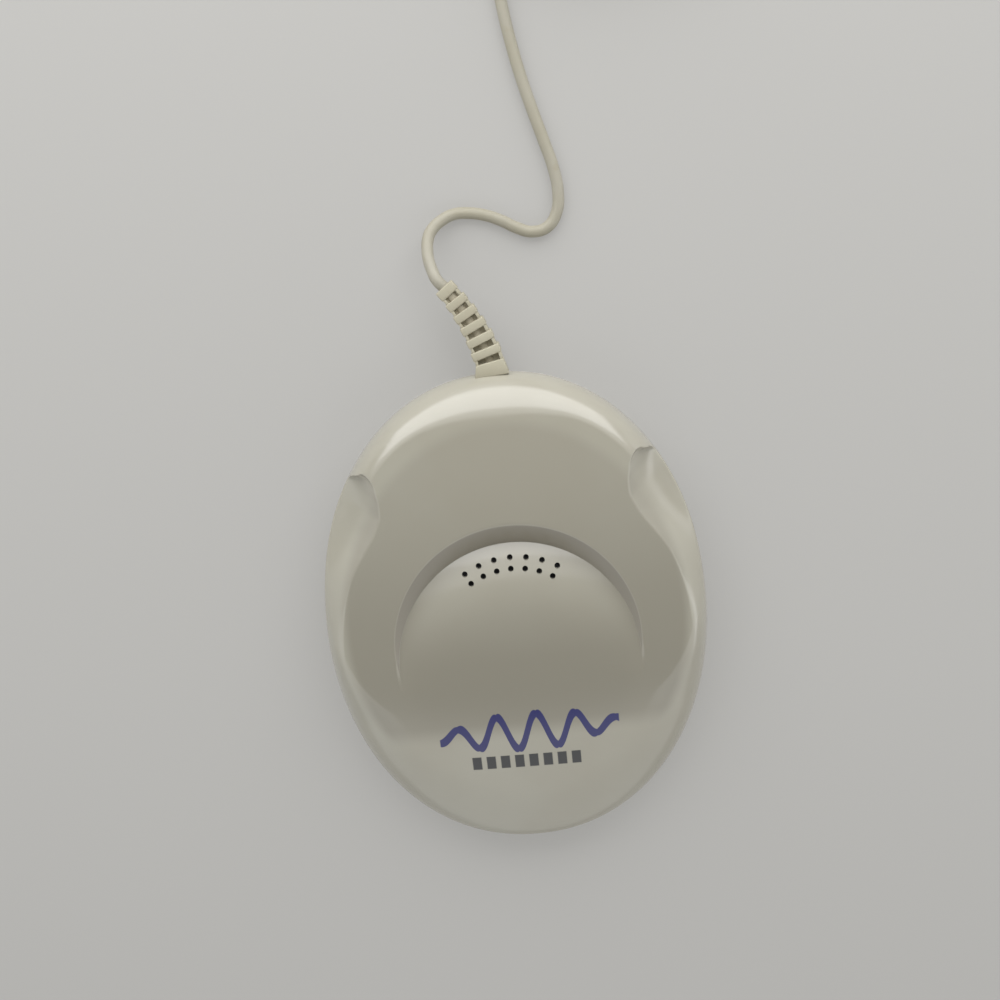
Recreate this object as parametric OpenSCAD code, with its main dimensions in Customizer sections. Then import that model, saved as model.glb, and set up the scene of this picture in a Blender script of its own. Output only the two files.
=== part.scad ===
// Pillow speaker: an oval two-part case with one small driver under a round dome,
// a segmented strain relief and a round cord that ends in a 3.5 mm mono plug.
// It lies on its back: Z is up out of the face, and Y points to the cord end.

/* [Case] */
// Width of the case across its sides
body_w = 98; // [84:1:118]
// Length of the case from the cord end to the far end
body_l = 124; // [106:1:149]
// Thickness of the case at the middle of its face
body_h = 22; // [21:0.5:27]
// Fullness of the oval outline, where 2 is a true ellipse
oval_power = 2.1; // [2:0.02:2.4]
// Height of the parting line above the underside
split_z = 9; // [8.5:0.5:10]
// Wall of both mouldings
wall = 2; // [1.6:0.1:2.4]
// Width of the rounded edge round the underside
rear_round = 10; // [7:1:12]
// Radius of the crown of the face
crown_r = 600; // [400:50:1000]
// Distance from the far end within which the face falls away
ramp_from = 57; // [45:1:65]
// Radius of that fall
ramp_r = 250; // [200:10:400]
// Depth of the tongue that seats in the rear shell
tongue = 1; // [0.6:0.1:1.4]

/* [Dome and sound holes] */
// Radius of the dome over the driver
dome_r = 30.5; // [30:0.5:33]
// Distance from the dome to the far end of the case
dome_gap = 21; // [19:1:26]
// Radius within which the dome is flat
dome_flat = 21.5; // [19:0.5:24]
// Radius of the rolled shoulder on the dome's cord side
dome_shoulder = 12; // [10.5:0.5:18]
// Width of the crescent recess at its widest
crescent_w = 5.3; // [3:0.1:7]
// Sound holes in each of the two rows
hole_count = 7; // [3:1:8]
// Diameter of a sound hole
hole_d = 1.3; // [0.8:0.1:2]
// Radius of the outer row of sound holes
hole_row_r = 22.8; // [20:0.1:24]
// Distance between the two rows
hole_row_gap = 2.7; // [2:0.1:4]
// Angle from one sound hole to the next
hole_pitch = 10.2; // [8:0.1:13]
// Distance from the dome's centre to the centre of the rows
hole_shift = 4.3; // [0:0.1:6]

/* [Fixings] */
// Distance of the cord-end screw posts from the case's axis
top_post_x = 24; // [20:1:28]
// Distance of the cord-end screw posts from the cord end
top_post_in = 21; // [18:1:26]
// Distance of the far-end screw posts from the case's side
low_post_in = 27; // [24:1:30]
// Distance of the far-end screw posts from the far end
low_post_up = 17; // [15:1:20]
// Diameter of a screw post
post_d = 6; // [5:0.5:7]
// Diameter of the case screws' shank
screw_d = 2.6; // [2:0.1:3]
// Diameter of the case screws' head
screw_head_d = 4.6; // [4:0.1:5.4]
// Depth of the recess that hides a case screw's head
screw_recess = 3.2; // [2:0.1:4]

/* [Driver] */
// Outer diameter of the driver's frame
driver_d = 57; // [50:0.5:57.5]
// Thickness of the frame's pressed sheet
frame_t = 0.8; // [0.5:0.1:1]
// Diameter of the ring magnet
magnet_d = 27; // [22:1:30]
// Thickness of the ring magnet
magnet_t = 3; // [2:0.2:3.6]
// Diameter of the pole piece
pole_d = 9.6; // [8:0.2:11]
// Width of the magnet gap round the pole piece
gap_w = 0.9; // [0.7:0.05:1.2]
// Thickness of the foam gasket on the frame's flange
gasket_t = 0.6; // [0.4:0.1:1]

/* [Strain relief] */
// Length of the strain relief outside the case, along its bend
boot_l = 26.6; // [22:0.2:34]
// Width of the strain relief at the case
boot_w = 8; // [7:0.1:10]
// Width of the strain relief at its tip
boot_tip_w = 4.9; // [4.6:0.1:6.5]
// Height of a rib as a share of its width
boot_flat = 0.86; // [0.7:0.02:1]
// Windows in the strain relief
boot_windows = 6; // [4:1:8]
// Width of a window along the strain relief
window_w = 1.4; // [0.8:0.05:1.8]
// Radius of the strain relief's bend near the case
boot_bend_r = 16; // [12:1:40]

/* [Cord and plug] */
// Diameter of the cord
cord_d = 3; // [2.4:0.1:3.6]
// Radius of the coil at the middle of its turns
coil_r = 16.5; // [15:0.5:20]
// Turns side by side, and on each other, in the coil
coil_rows = 4; // [3:1:5]
// Diameter of the plug's barrel
plug_d = 8; // [7:0.5:10]
// Length of the plug's barrel
plug_l = 24; // [18:1:30]
// Diameter of the plug's shaft
shaft_d = 3.5; // [2.5:1:3.5]
// Length of the plug's shaft
shaft_l = 14; // [11:0.5:15]

/* [Hidden] */

// Fineness of round parts, and the number of stations round the two shells
fine = 48;
stations = 96;
step = 360 / stations;

// Clearances: round a screw's shank, between sliding faces, and round a pressed cloth
screw_gap = 0.05;
fit_gap = 0.1;
cloth_gap = 0.45;

// The dome's centre, and the height of the rib that the driver seats against
dome_y = -(body_l / 2 - dome_r - dome_gap);
rib_out = dome_r - 1.4;
rib_in = rib_out - 1.5;
seat_z = body_h - 6.8;
// Half the angle over the sound holes in which the rib is left away
rib_window = 38;

// Inset of the face's edge from the outline, by station angle from the side
edge_inset = [
    [-90, 16.5], [-60, 16], [-40, 14.3], [-25, 13.4], [-17, 9.8], [-9, 6.5], [-2, 4.8],
    [6.5, 6.2], [13, 7.4], [19, 9], [24, 10.6], [30, 11.5], [36, 10.3], [40, 7.9],
    [42.5, 6], [56, 6.6], [82, 10], [90, 10.5]
];
// Section of the edge at the same stations: 1 is a round shoulder, 0 a finger scoop
edge_round = [
    [-90, 1], [0, 1], [6, 0.85], [12, 0.5], [18, 0.22], [24, 0.06], [28, 0], [41, 0], [43, 1], [90, 1]
];
// Height of a scoop's outer lip as a share of the edge's height, and its hollow
scoop_lip = 0.3;
scoop_power = 1.8;

// Screw posts and clamp posts
top_post = [top_post_x, body_l / 2 - top_post_in];
low_post = [body_w / 2 - low_post_in, -(body_l / 2 - low_post_up)];
posts = [for (p = [top_post, low_post], side = [-1, 1]) [side * p[0], p[1]]];
post_foot = split_z - 1;
clamp_angles = [30, 150, 222, 318];
clamp_ring = driver_d / 2 + 4;
clamp_t = 0.8;
clamp_r = 5;
clamp_screw_r = 1;
clamp_head_r = 2;
clamp_head_t = 1.3;

// Heights of the driver's layers, from the gasket down
flange_top = seat_z - gasket_t;
flange_z = flange_top - frame_t;
plate_t = 1.4;
yoke_t = 1.4;
yoke_z = flange_top - 11.8;
magnet_z = yoke_z + yoke_t;
plate_z = magnet_z + magnet_t;
frame_z = plate_z + plate_t;
flange_in = driver_d / 2 - 3.9;
floor_r = 14;
coil_in = pole_d / 2 + gap_w * 0.25;
coil_out = pole_d / 2 + gap_w * 0.7;
surround_in = flange_in - 4.4;

// The tag board under the frame's flange
board = [12, 7, 1];
board_y = dome_y + driver_d / 2 - 3.4;
tag_x = 3;
tag_y = board_y + 5;
tag_r = 0.8;

// The cord where it enters: its height, the grip's place and the tail's end
cord_z = split_z;
cord_r = cord_d / 2;
grip_y = body_l / 2 - 15;
grip_x = 6;
grip_t = 2;
grip_w = 5;
grip_post_r = 2.5;
grip_post_z = cord_z + 0.5;
tail_y = body_l / 2 - 24;
lead_r = 0.5;

// The strain relief: neck and flange in the wall, then the bend
neck_r = boot_w / 2 - 0.8;
boot_y = body_l / 2 - wall;
boot_flange_t = 1.6;
boot_flange_r = neck_r + 0.9;
boot_flange_in = 2.1;
// The bend starts at the wall, is tighter up to boot_turn and wider from there to the tip
boot_turn = wall + 4.5;
boot_far_r = 52;
boot_mid_angle = (boot_turn - wall) / boot_bend_r * 180 / PI;
boot_far_angle = (boot_l - boot_turn) / boot_far_r * 180 / PI;
boot_angle = boot_mid_angle + boot_far_angle;
boot_first = wall + 3.55;
boot_pitch = (boot_l - 3.25 - boot_first) / (boot_windows - 1);
boot_web = 0.8;
boot_floor_t = 1.2;

// Route of the cord from the strain relief to the coil, on round numbers
cord_route = [
    [-12.2, 88.6, 7.9], [-12.8, 91, 6.8], [-12.9, 93.5, 5.7], [-12.6, 95.8, 4.6],
    [-11.6, 97.9, 3.6], [-10.2, 99.3, 3], [-8.8, 100.2, 2.5], [-5.6, 101.4, 1.8], [-1.8, 101.3, 1.5], [2.4, 100.3, 1.5],
    [6.2, 98.6, 1.5], [9.6, 96.6, 1.5], [13.4, 95.2, 1.5], [17.4, 96, 1.5],
    [20, 99.4, 1.5], [20.8, 104, 1.5], [20.2, 110, 1.5], [18.4, 117, 1.5],
    [16.2, 125, 1.5], [14.2, 133, 1.5], [12.6, 141, 1.5], [11.4, 149, 1.5],
    [10.6, 157, 1.5], [10.2, 165, 1.5], [10, 173, 1.6], [9.9, 179, 1.8], [9.9, 184, 2.2]
];
// Centre of the coil, and its rise off the ground on its tie
coil_at = [34, 186];
coil_rise = 0.6;
coil_w = coil_rows * cord_d + 0.2;
tie_w = 4;
tie_angle = 300;

// Route of the cord from the coil to the plug
end_route = [
    [39, 209.6, 10.2], [45, 209.6, 9], [51, 208.2, 7.4], [56.6, 205.2, 5.9], [60.6, 201.2, 4.7], [62, 197, 4]
];
plug_at = [62, 193, 4];

// Sign of v times the power p of its size
function signed_pow(v, p) = sign(v) * pow(abs(v), p);
// Value at the station's angle, the same on both sides of the axis
function rail(table, a) = lookup(asin(sin(a)), table);

// Point of the outline at station angle a, and the way inwards there
function outline(a, inset = 0) = [
    (body_w / 2 - inset) * signed_pow(cos(a), 2 / oval_power),
    (body_l / 2 - inset) * signed_pow(sin(a), 2 / oval_power)
];
function inward(a) = let(
    g = [
        signed_pow(cos(a), 2 - 2 / oval_power) / body_w,
        signed_pow(sin(a), 2 - 2 / oval_power) / body_l
    ]
) -g / norm(g);

// Height of the face: a shallow crown that falls away towards the far end
function ramp_depth(y) = let(d = max(0, ramp_from - body_l / 2 - y)) d * d / (2 * ramp_r);
function face_z(p) = body_h - (p[0] * p[0] + p[1] * p[1]) / (2 * crown_r) - ramp_depth(p[1]);

// Section of the case's edge, from 0 at the outline to 1 at the face
function round_edge(u) = sqrt(max(0, 1 - (1 - u) * (1 - u)));
function scoop_edge(u) = scoop_lip * round_edge(min(1, u / 0.12)) + (1 - scoop_lip) * pow(u, scoop_power);
function edge_share(a, u) = let(k = rail(edge_round, a)) k * round_edge(u) + (1 - k) * scoop_edge(u);

// Width of the edge, which ends at least 2 mm before the crescent
function edge_width(a) = min(rail(edge_inset, a), norm(outline(a) - [0, dome_y]) - crescent_r(a) - 2);

// Point of the front shell's edge, where u runs from the outline to the face
function edge_point(a, u, inset) = let(
    width = edge_width(a) - inset * 0.6,
    p = outline(a, inset) + inward(a) * u * width,
    top = face_z(p) - inset
) [p[0], p[1], split_z + (top - split_z) * edge_share(a, u)];

// Dome: flat in the middle, rolled down to the crescent on the cord side only
function roll_fade(y) = let(s = min(1, max(0, (y + 12) / 18))) s * s * (3 - 2 * s);
function roll(p) = let(
    q = p - [0, dome_y],
    d = max(0, min(dome_shoulder * 0.8, norm([q[0] * 0.8, q[1]]) - dome_flat))
) (dome_shoulder - sqrt(dome_shoulder * dome_shoulder - d * d)) * roll_fade(q[1]);
function dome_z(p) = face_z(p) - roll(p);

function dome_circle(a, r) = [r * cos(a), dome_y + r * sin(a)];
function crescent_r(a) = dome_r + max(0.8, 0.3 + (crescent_w - 0.3) * sin(a));

// Rings of the front shell, from the outline up over the face to the dome's middle
function edge_ring(u, inset = 0) = [for (i = [0:stations - 1]) edge_point(i * step, u, inset)];
function face_ring(s, drop = 0) = [
    for (i = [0:stations - 1]) let(
        a = i * step,
        e = edge_point(a, 1, drop),
        c = dome_circle(a, crescent_r(a) + drop * 0.25),
        p = [e[0], e[1]] * (1 - s) + c * s
    ) [p[0], p[1], face_z(p) - drop]
];
function crescent_ring(s, drop = 0) = [
    for (i = [0:stations - 1]) let(
        a = i * step,
        rim = dome_circle(a, dome_r),
        lip = dome_circle(a, crescent_r(a)),
        p = lip * (1 - s) + rim * s,
        deep = drop * (1 + 0.4 * s * max(0, sin(a)))
    ) [p[0], p[1], face_z(lip) * (1 - s) + dome_z(rim) * s - deep]
];
function dome_ring(r, drop = 0) = [
    for (i = [0:stations - 1]) let(p = dome_circle(i * step, r)) [p[0], p[1], dome_z(p) - drop]
];
// The rib under the dome, which stops short of the sound holes
function over_holes(a) = abs(a - 90) < rib_window;
function rib_ring(r) = [
    for (i = [0:stations - 1]) let(a = i * step, p = dome_circle(a, r))
    [p[0], p[1], over_holes(a) ? dome_z(p) - wall - 0.3 : seat_z]
];
function flat_ring(inset, z) = [for (i = [0:stations - 1]) concat(outline(i * step, inset), z)];

// A closed body from rings of points, with a middle point at each end
module loft(first, rings, last) {
    n = len(rings[0]);
    m = len(rings);
    end = 1 + n * m;
    sides = [
        for (k = [0:m - 2], i = [0:n - 1]) let(
            a = 1 + k * n + i,
            b = 1 + k * n + (i + 1) % n
        ) each [[a, b, b + n], [a, b + n, a + n]]
    ];
    start_fan = [for (i = [0:n - 1]) [0, 1 + (i + 1) % n, 1 + i]];
    end_fan = [for (i = [0:n - 1]) [end, end - n + i, end - n + (i + 1) % n]];
    polyhedron(concat([first], [for (r = rings) each r], [last]), concat(start_fan, sides, end_fan));
}

// A round tube along a route, square to its own way at each point
function unit(v) = v / norm(v);
function way(route, i) = unit(route[min(i + 1, len(route) - 1)] - route[max(i - 1, 0)]);
function tube_ring(route, i, r, sides, across) = let(
    t = way(route, i),
    u = unit(cross(across, t)),
    v = cross(t, u)
) [for (k = [0:sides - 1]) route[i] + r * (cos(k * 360 / sides) * u + sin(k * 360 / sides) * v)];
module tube(route, r, sides = 8, across = [0, 0, 1]) {
    last = len(route) - 1;
    loft(route[last], [for (i = [last:-1:0]) tube_ring(route, i, r, sides, across)], route[0]);
}

// Middles of the strain relief's two bends
near_mid = [-boot_bend_r, boot_y + wall, cord_z];
far_mid = near_mid - (boot_far_r - boot_bend_r) * [cos(boot_mid_angle), sin(boot_mid_angle), 0];
// Place on the bends at the distance s from the case's inner face
module on_bend(s) {
    far = s > boot_turn;
    r = far ? boot_far_r : boot_bend_r;
    angle = far ? boot_mid_angle + (s - boot_turn) / r * 180 / PI : (s - wall) / r * 180 / PI;
    translate(far ? far_mid : near_mid)
        rotate([0, 0, angle])
            translate([r, 0, 0])
                children();
}
function boot_size(s) = boot_w + (boot_tip_w - boot_w) * (s - 3) / (boot_l - 3);
boot_tip = far_mid + boot_far_r * [cos(boot_angle), sin(boot_angle), 0];
boot_exit = boot_tip + 2.4 * [-sin(boot_angle), cos(boot_angle), 0];

// A rectangle with round corners about its centre
module rounded(size, r) {
    square([size[0] - 2 * r, size[1]], center = true);
    square([size[0], size[1] - 2 * r], center = true);
    for (x = [-1, 1], y = [-1, 1])
        translate([x * (size[0] / 2 - r), y * (size[1] / 2 - r)])
            circle(r, $fn = fine);
}

// A bar along Y with a rounded section
module bar(size, r, length) {
    translate([0, length, 0])
        rotate([90, 0, 0])
            linear_extrude(length)
                rounded(size, r);
}

module at_posts() {
    for (p = posts)
        translate([p[0], p[1], 0])
            children();
}

module at_clamps() {
    for (a = clamp_angles)
        translate(concat(dome_circle(a, clamp_ring), 0))
            children();
}

module at_grip_posts() {
    for (side = [-1, 1])
        translate([side * grip_x, grip_y, 0])
            children();
}

// A tube that stands on z = 0
module sleeve(outer, inner, h) {
    difference() {
        cylinder(h, r = outer, $fn = fine);
        translate([0, 0, -1])
            cylinder(h + 2, r = inner, $fn = fine);
    }
}

// The opening for the strain relief's neck, through both mouldings
module neck_cut() {
    translate([0, body_l / 2 + 4, cord_z])
        rotate([90, 0, 0])
            cylinder(4 + wall + 3, r = neck_r + fit_gap, $fn = fine);
}

module sound_holes() {
    for (row = [0, 1], k = [0:hole_count - 1]) {
        a = 90 + (k - (hole_count - 1) / 2) * hole_pitch;
        r = hole_row_r - row * hole_row_gap;
        translate([r * cos(a), dome_y + hole_shift + r * sin(a), seat_z])
            cylinder(body_h, d = hole_d, $fn = 24);
    }
}

module front_moulding() {
    loft(
        [0, dome_y, dome_z([0, dome_y])],
        [
            dome_ring(12), dome_ring(20), dome_ring(dome_flat + 1.5), dome_ring(26),
            dome_ring(28.2), dome_ring(dome_r - 0.8),
            crescent_ring(1), crescent_ring(0.5),
            face_ring(1), face_ring(0.6), face_ring(0.25),
            edge_ring(1), edge_ring(0.84), edge_ring(0.66), edge_ring(0.48), edge_ring(0.32),
            edge_ring(0.18), edge_ring(0.08), edge_ring(0.02),
            flat_ring(0, split_z), flat_ring(wall / 2, split_z), flat_ring(wall / 2, split_z - tongue),
            flat_ring(wall, split_z - tongue),
            edge_ring(0.04, wall), edge_ring(0.2, wall), edge_ring(0.5, wall), edge_ring(1, wall),
            face_ring(0.5, wall), face_ring(1, wall), crescent_ring(1, wall),
            dome_ring(rib_out, wall), rib_ring(rib_out), rib_ring(rib_in), dome_ring(rib_in, wall),
            dome_ring(24, wall), dome_ring(14, wall)
        ],
        [0, dome_y, dome_z([0, dome_y]) - wall]
    );
}

module front_shell() {
    color("ivory")
        difference() {
            union() {
                front_moulding();
                case_posts();
                clamp_posts();
            }
            at_posts()
                translate([0, 0, post_foot - 1])
                    cylinder(1 + screw_grip, d = screw_d + 2 * screw_gap, $fn = fine);
            at_clamps()
                translate([0, 0, flange_z - 1])
                    cylinder(1 + clamp_grip, r = clamp_screw_r + screw_gap, $fn = fine);
            sound_holes();
            neck_cut();
        }
}

// Posts reach half-way into the wall above them
screw_grip = 5.6;
clamp_grip = 3;
module case_posts() {
    for (p = posts)
        translate([p[0], p[1], post_foot])
            cylinder(low_z(p) - wall * 0.75 - post_foot, d = post_d, $fn = fine);
}
module clamp_posts() {
    for (a = clamp_angles) {
        p = dome_circle(a, clamp_ring);
        top = min(low_z(p), dome_z(dome_circle(a, dome_r)));
        translate([p[0], p[1], flange_z])
            cylinder(top - wall * 0.6 - flange_z, d = post_d, $fn = fine);
    }
}
// Height of the shell over a post, less the fall of the face round it
function low_z(p) = face_z(p) - ramp_depth(p[1]) * 0.35;

module rear_moulding() {
    in = rear_round - wall * 0.6;
    function out_ring(u) = flat_ring(u * rear_round, split_z * (1 - round_edge(u)));
    function in_ring(u) = flat_ring(wall + u * in, split_z - (split_z - wall) * round_edge(u));
    groove = tongue + fit_gap;
    loft(
        [0, 0, wall],
        [
            in_ring(1), in_ring(0.7), in_ring(0.42), in_ring(0.2),
            flat_ring(wall, split_z - groove), flat_ring(wall / 2 - fit_gap, split_z - groove),
            flat_ring(wall / 2 - fit_gap, split_z), flat_ring(0, split_z),
            out_ring(0.03), out_ring(0.12), out_ring(0.28), out_ring(0.5), out_ring(0.75), out_ring(1)
        ],
        [0, 0, 0]
    );
}

module rear_shell() {
    color("ivory")
        difference() {
            union() {
                rear_moulding();
                at_posts()
                    translate([0, 0, wall / 2])
                        cylinder(post_foot - wall / 2, d = screw_head_d + 3, $fn = fine);
                at_grip_posts()
                    translate([0, 0, wall / 2])
                        cylinder(grip_post_z - wall / 2, r = grip_post_r, $fn = fine);
                translate([-4, grip_y - 2, wall / 2])
                    cube([8, 4, cord_z - 0.5 - wall / 2]);
                // The wall that keeps the magnet's pad in place
                translate([0, dome_y, wall / 2])
                    sleeve(magnet_d / 2 - 2, magnet_d / 2 - 3.2, wall / 2 + (yoke_z - wall) * 0.8);
            }
            at_posts()
                translate([0, 0, -1])
                    cylinder(1 + screw_recess, d = screw_head_d + 0.6, $fn = fine);
            at_posts()
                translate([0, 0, screw_recess - 1])
                    cylinder(split_z, d = screw_d + 0.4, $fn = fine);
            at_grip_posts()
                translate([0, 0, wall + 0.5])
                    cylinder(split_z, r = clamp_screw_r + screw_gap, $fn = fine);
            translate([0, tail_y - 1, cord_z])
                rotate([-90, 0, 0])
                    cylinder(body_l / 2 - wall - 1 - tail_y + 1, r = cord_r, $fn = fine);
            neck_cut();
        }
}

// A pan-head screw that points up, with a cross recess in its head
module pan_screw(head_r, head_t, shank_r, shank_l) {
    difference() {
        union() {
            intersection() {
                cylinder(head_t, r = head_r, $fn = fine);
                translate([0, 0, head_r * 1.5])
                    sphere(head_r * 1.5 + 0.01, $fn = fine);
            }
            translate([0, 0, head_t - 0.01])
                cylinder(shank_l - 0.8 + 0.01, r = shank_r, $fn = fine);
            translate([0, 0, head_t + shank_l - 0.8 - 0.01])
                cylinder(0.81, shank_r, shank_r * 0.35, $fn = fine);
        }
        for (turn = [0, 90])
            rotate([0, 0, turn])
                translate([-head_r * 0.6, -head_r * 0.12, -1])
                    cube([head_r * 1.2, head_r * 0.24, 1 + head_t * 0.5]);
    }
}

screw_head_t = 1.7;
module case_screws() {
    color("silver")
        at_posts()
            translate([0, 0, screw_recess - screw_head_t])
                pan_screw(screw_head_d / 2, screw_head_t, screw_d / 2, post_foot + screw_grip - 0.8 - screw_recess);
}

// Open-weave cloth behind the sound holes
module dust_cloth() {
    span = 30;
    cols = 8;
    function cloth_ring(r, drop) = [
        for (i = [0:cols]) let(p = dome_circle(90 - span + i * 2 * span / cols, r))
        [p[0], p[1], dome_z(p) - wall - cloth_gap - drop]
    ];
    t = 0.35;
    radii = [rib_in + 0.4, 25, 22.4];
    upper = [for (r = radii) cloth_ring(r, 0)];
    lower = [for (r = radii) cloth_ring(r, t)];
    w = cols + 1;
    // Corner of the cloth: layer 0 or 1, row from outside to inside, column
    function at(layer, row, col) = layer * 3 * w + row * w + col;
    top = [for (k = [0, 1], i = [0:cols - 1]) each [
        [at(0, k, i), at(0, k, i + 1), at(0, k + 1, i + 1)], [at(0, k, i), at(0, k + 1, i + 1), at(0, k + 1, i)]
    ]];
    under = [for (f = top) [f[0] + 3 * w, f[2] + 3 * w, f[1] + 3 * w]];
    rim = concat(
        [for (i = [0:cols - 1]) [at(0, 0, i + 1), at(0, 0, i), at(1, 0, i), at(1, 0, i + 1)]],
        [for (i = [0:cols - 1]) [at(0, 2, i), at(0, 2, i + 1), at(1, 2, i + 1), at(1, 2, i)]],
        [for (k = [0, 1]) [at(0, k, 0), at(0, k + 1, 0), at(1, k + 1, 0), at(1, k, 0)]],
        [for (k = [0, 1]) [at(0, k + 1, cols), at(0, k, cols), at(1, k, cols), at(1, k + 1, cols)]]
    );
    color("dimgray")
        polyhedron(concat([for (r = upper) each r], [for (r = lower) each r]), concat(top, under, rim));
}

module at_driver() {
    translate([0, dome_y, 0])
        children();
}

module driver_gasket() {
    color("black")
        at_driver()
            translate([0, 0, flange_top])
                sleeve(driver_d / 2, driver_d / 2 - 2, gasket_t);
}

// Pressed frame: flange, sloping wall with four openings, and the ring under it
module driver_frame() {
    color("lightslategray")
        at_driver()
            difference() {
                rotate_extrude($fn = 96)
                    polygon([
                        [coil_out + 1.2, frame_z], [floor_r, frame_z], [flange_in - 0.4, flange_z],
                        [driver_d / 2, flange_z], [driver_d / 2, flange_top], [flange_in - 1, flange_top],
                        [floor_r - 0.6, frame_z + frame_t], [coil_out + 1.2, frame_z + frame_t]
                    ]);
                for (turn = [45:90:315])
                    rotate([0, 0, turn])
                        translate([floor_r + 1.4, -7, frame_z - 1])
                            cube([flange_in - floor_r - 3.4, 14, flange_top - frame_z + 2]);
            }
}

module driver_plate() {
    color("silver")
        at_driver()
            translate([0, 0, plate_z])
                sleeve(magnet_d / 2 - 1, pole_d / 2 + gap_w, plate_t);
}

module driver_magnet() {
    color("darkslategray")
        at_driver()
            translate([0, 0, magnet_z])
                sleeve(magnet_d / 2, pole_d / 2 + gap_w + 1.6, magnet_t);
}

module driver_yoke() {
    color("silver")
        at_driver()
            rotate_extrude($fn = 96)
                polygon([
                    [0, yoke_z], [magnet_d / 2 - 1, yoke_z], [magnet_d / 2 - 1, magnet_z],
                    [pole_d / 2, magnet_z], [pole_d / 2, frame_z - 0.3], [pole_d / 2 - 0.3, frame_z],
                    [0, frame_z]
                ]);
}

module voice_coil() {
    color("peru")
        at_driver()
            translate([0, 0, plate_z - 0.4])
                sleeve(coil_out, coil_in, frame_z - plate_z + 3.2);
}

// Corrugated disc that centres the voice coil
module driver_spider() {
    z = frame_z + frame_t;
    color("tan")
        at_driver()
            rotate_extrude($fn = 96)
                polygon([
                    [coil_out, z + 1.1], [coil_out + 1, z + 0.7], [coil_out + 2, z + 1.2], [coil_out + 3, z + 0.6],
                    [coil_out + 4, z + 1.1], [coil_out + 5, z + 0.5], [floor_r - 2.2, z], [floor_r - 0.9, z],
                    [floor_r - 0.9, z + 0.3], [floor_r - 2.1, z + 0.3], [coil_out + 5, z + 0.8],
                    [coil_out + 4, z + 1.4], [coil_out + 3, z + 0.9], [coil_out + 2, z + 1.5],
                    [coil_out + 1, z + 1], [coil_out, z + 1.4]
                ]);
}

// Paper cone with its rolled surround and the foot that is glued to the flange
cone_z = frame_z + 2.4;
module driver_cone() {
    t = 0.35;
    half = (flange_in - surround_in) / 2 + 0.3;
    rise = 1.4;
    arc_r = (half * half + rise * rise) / (2 * rise);
    color("darkslategray")
        at_driver()
            rotate_extrude($fn = 96) {
                polygon([
                    [coil_out, cone_z], [surround_in + 0.4, flange_top - 0.3], [surround_in + 0.4, flange_top + 0.2],
                    [coil_out, cone_z + t]
                ]);
                translate([surround_in + half - 0.3, flange_top])
                    intersection() {
                        translate([0, rise - arc_r])
                            difference() {
                                circle(arc_r, $fn = 96);
                                circle(arc_r - t, $fn = 96);
                            }
                        translate([-half - 0.2, 0])
                            square([2 * half + 0.4, rise + 0.1]);
                    }
                translate([flange_in - 0.4, flange_top])
                    square([1.7, t]);
            }
}

module dust_cap() {
    r = 7;
    h = 1.6;
    sphere_r = (r * r + h * h) / (2 * h);
    z = cone_z + 0.9;
    color("black")
        at_driver()
            translate([0, 0, z])
                intersection() {
                    translate([0, 0, h - sphere_r])
                        difference() {
                            sphere(sphere_r, $fn = 96);
                            sphere(sphere_r - 0.3, $fn = 96);
                        }
                    cylinder(h + 1, r = r, $fn = fine);
                }
}

module terminal_board() {
    color("sienna")
        difference() {
            translate([-board[0] / 2, board_y, flange_z - board[2]])
                cube(board);
            for (side = [-1, 1])
                translate([side * tag_x, tag_y, flange_z - board[2] - 1])
                    cylinder(board[2] + 2, r = tag_r, $fn = 24);
        }
}

// Eyelets with a flat solder lug each
module terminal_tags() {
    color("gold")
        for (side = [-1, 1])
            translate([side * tag_x, tag_y, 0]) {
                translate([0, 0, flange_z - board[2] - 0.4])
                    cylinder(board[2] + 0.8, r = tag_r, $fn = 24);
                translate([0, 0, flange_z - board[2] - 0.4])
                    cylinder(0.4, r = tag_r + 0.5, $fn = 24);
                translate([-1, -1.2, flange_z])
                    cube([2, 4.6, 0.4]);
            }
}

module driver_clamps() {
    color("silver")
        at_clamps()
            translate([0, 0, flange_z - clamp_t])
                sleeve(clamp_r, clamp_screw_r + 0.15, clamp_t);
}

module clamp_screws() {
    color("silver")
        at_clamps()
            translate([0, 0, flange_z - clamp_t - clamp_head_t])
                pan_screw(clamp_head_r, clamp_head_t, clamp_screw_r, clamp_t + clamp_grip - 0.6);
}

module magnet_pad() {
    color("dimgray")
        at_driver()
            translate([0, 0, wall])
                cylinder(yoke_z - wall, r = magnet_d / 2 - 4, $fn = fine);
}

// Wires from the cord's tail to the tags
module lead(side) {
    x = side * tag_x;
    tag_z = flange_z - board[2] - 0.4;
    tube([
        [side * 0.7, tail_y, cord_z], [side * 0.7, tail_y - 3, cord_z], [side * 1.6, tail_y - 6, cord_z - 1],
        [x, tail_y - 9.5, cord_z - 2], [x, tag_y + 4.5, cord_z - 2], [x, tag_y + 1.4, cord_z - 1],
        [x, tag_y, tag_z - 2], [x, tag_y, tag_z]
    ], lead_r, 6, [1, 0, 0]);
}

module lead_red() {
    color("firebrick")
        lead(1);
}

module lead_black() {
    color("black")
        lead(-1);
}

module cord_tail() {
    color("cornsilk")
        translate([0, tail_y, cord_z])
            rotate([-90, 0, 0])
                cylinder(boot_y - boot_flange_in - boot_flange_t - tail_y, r = cord_r, $fn = fine);
}

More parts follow.
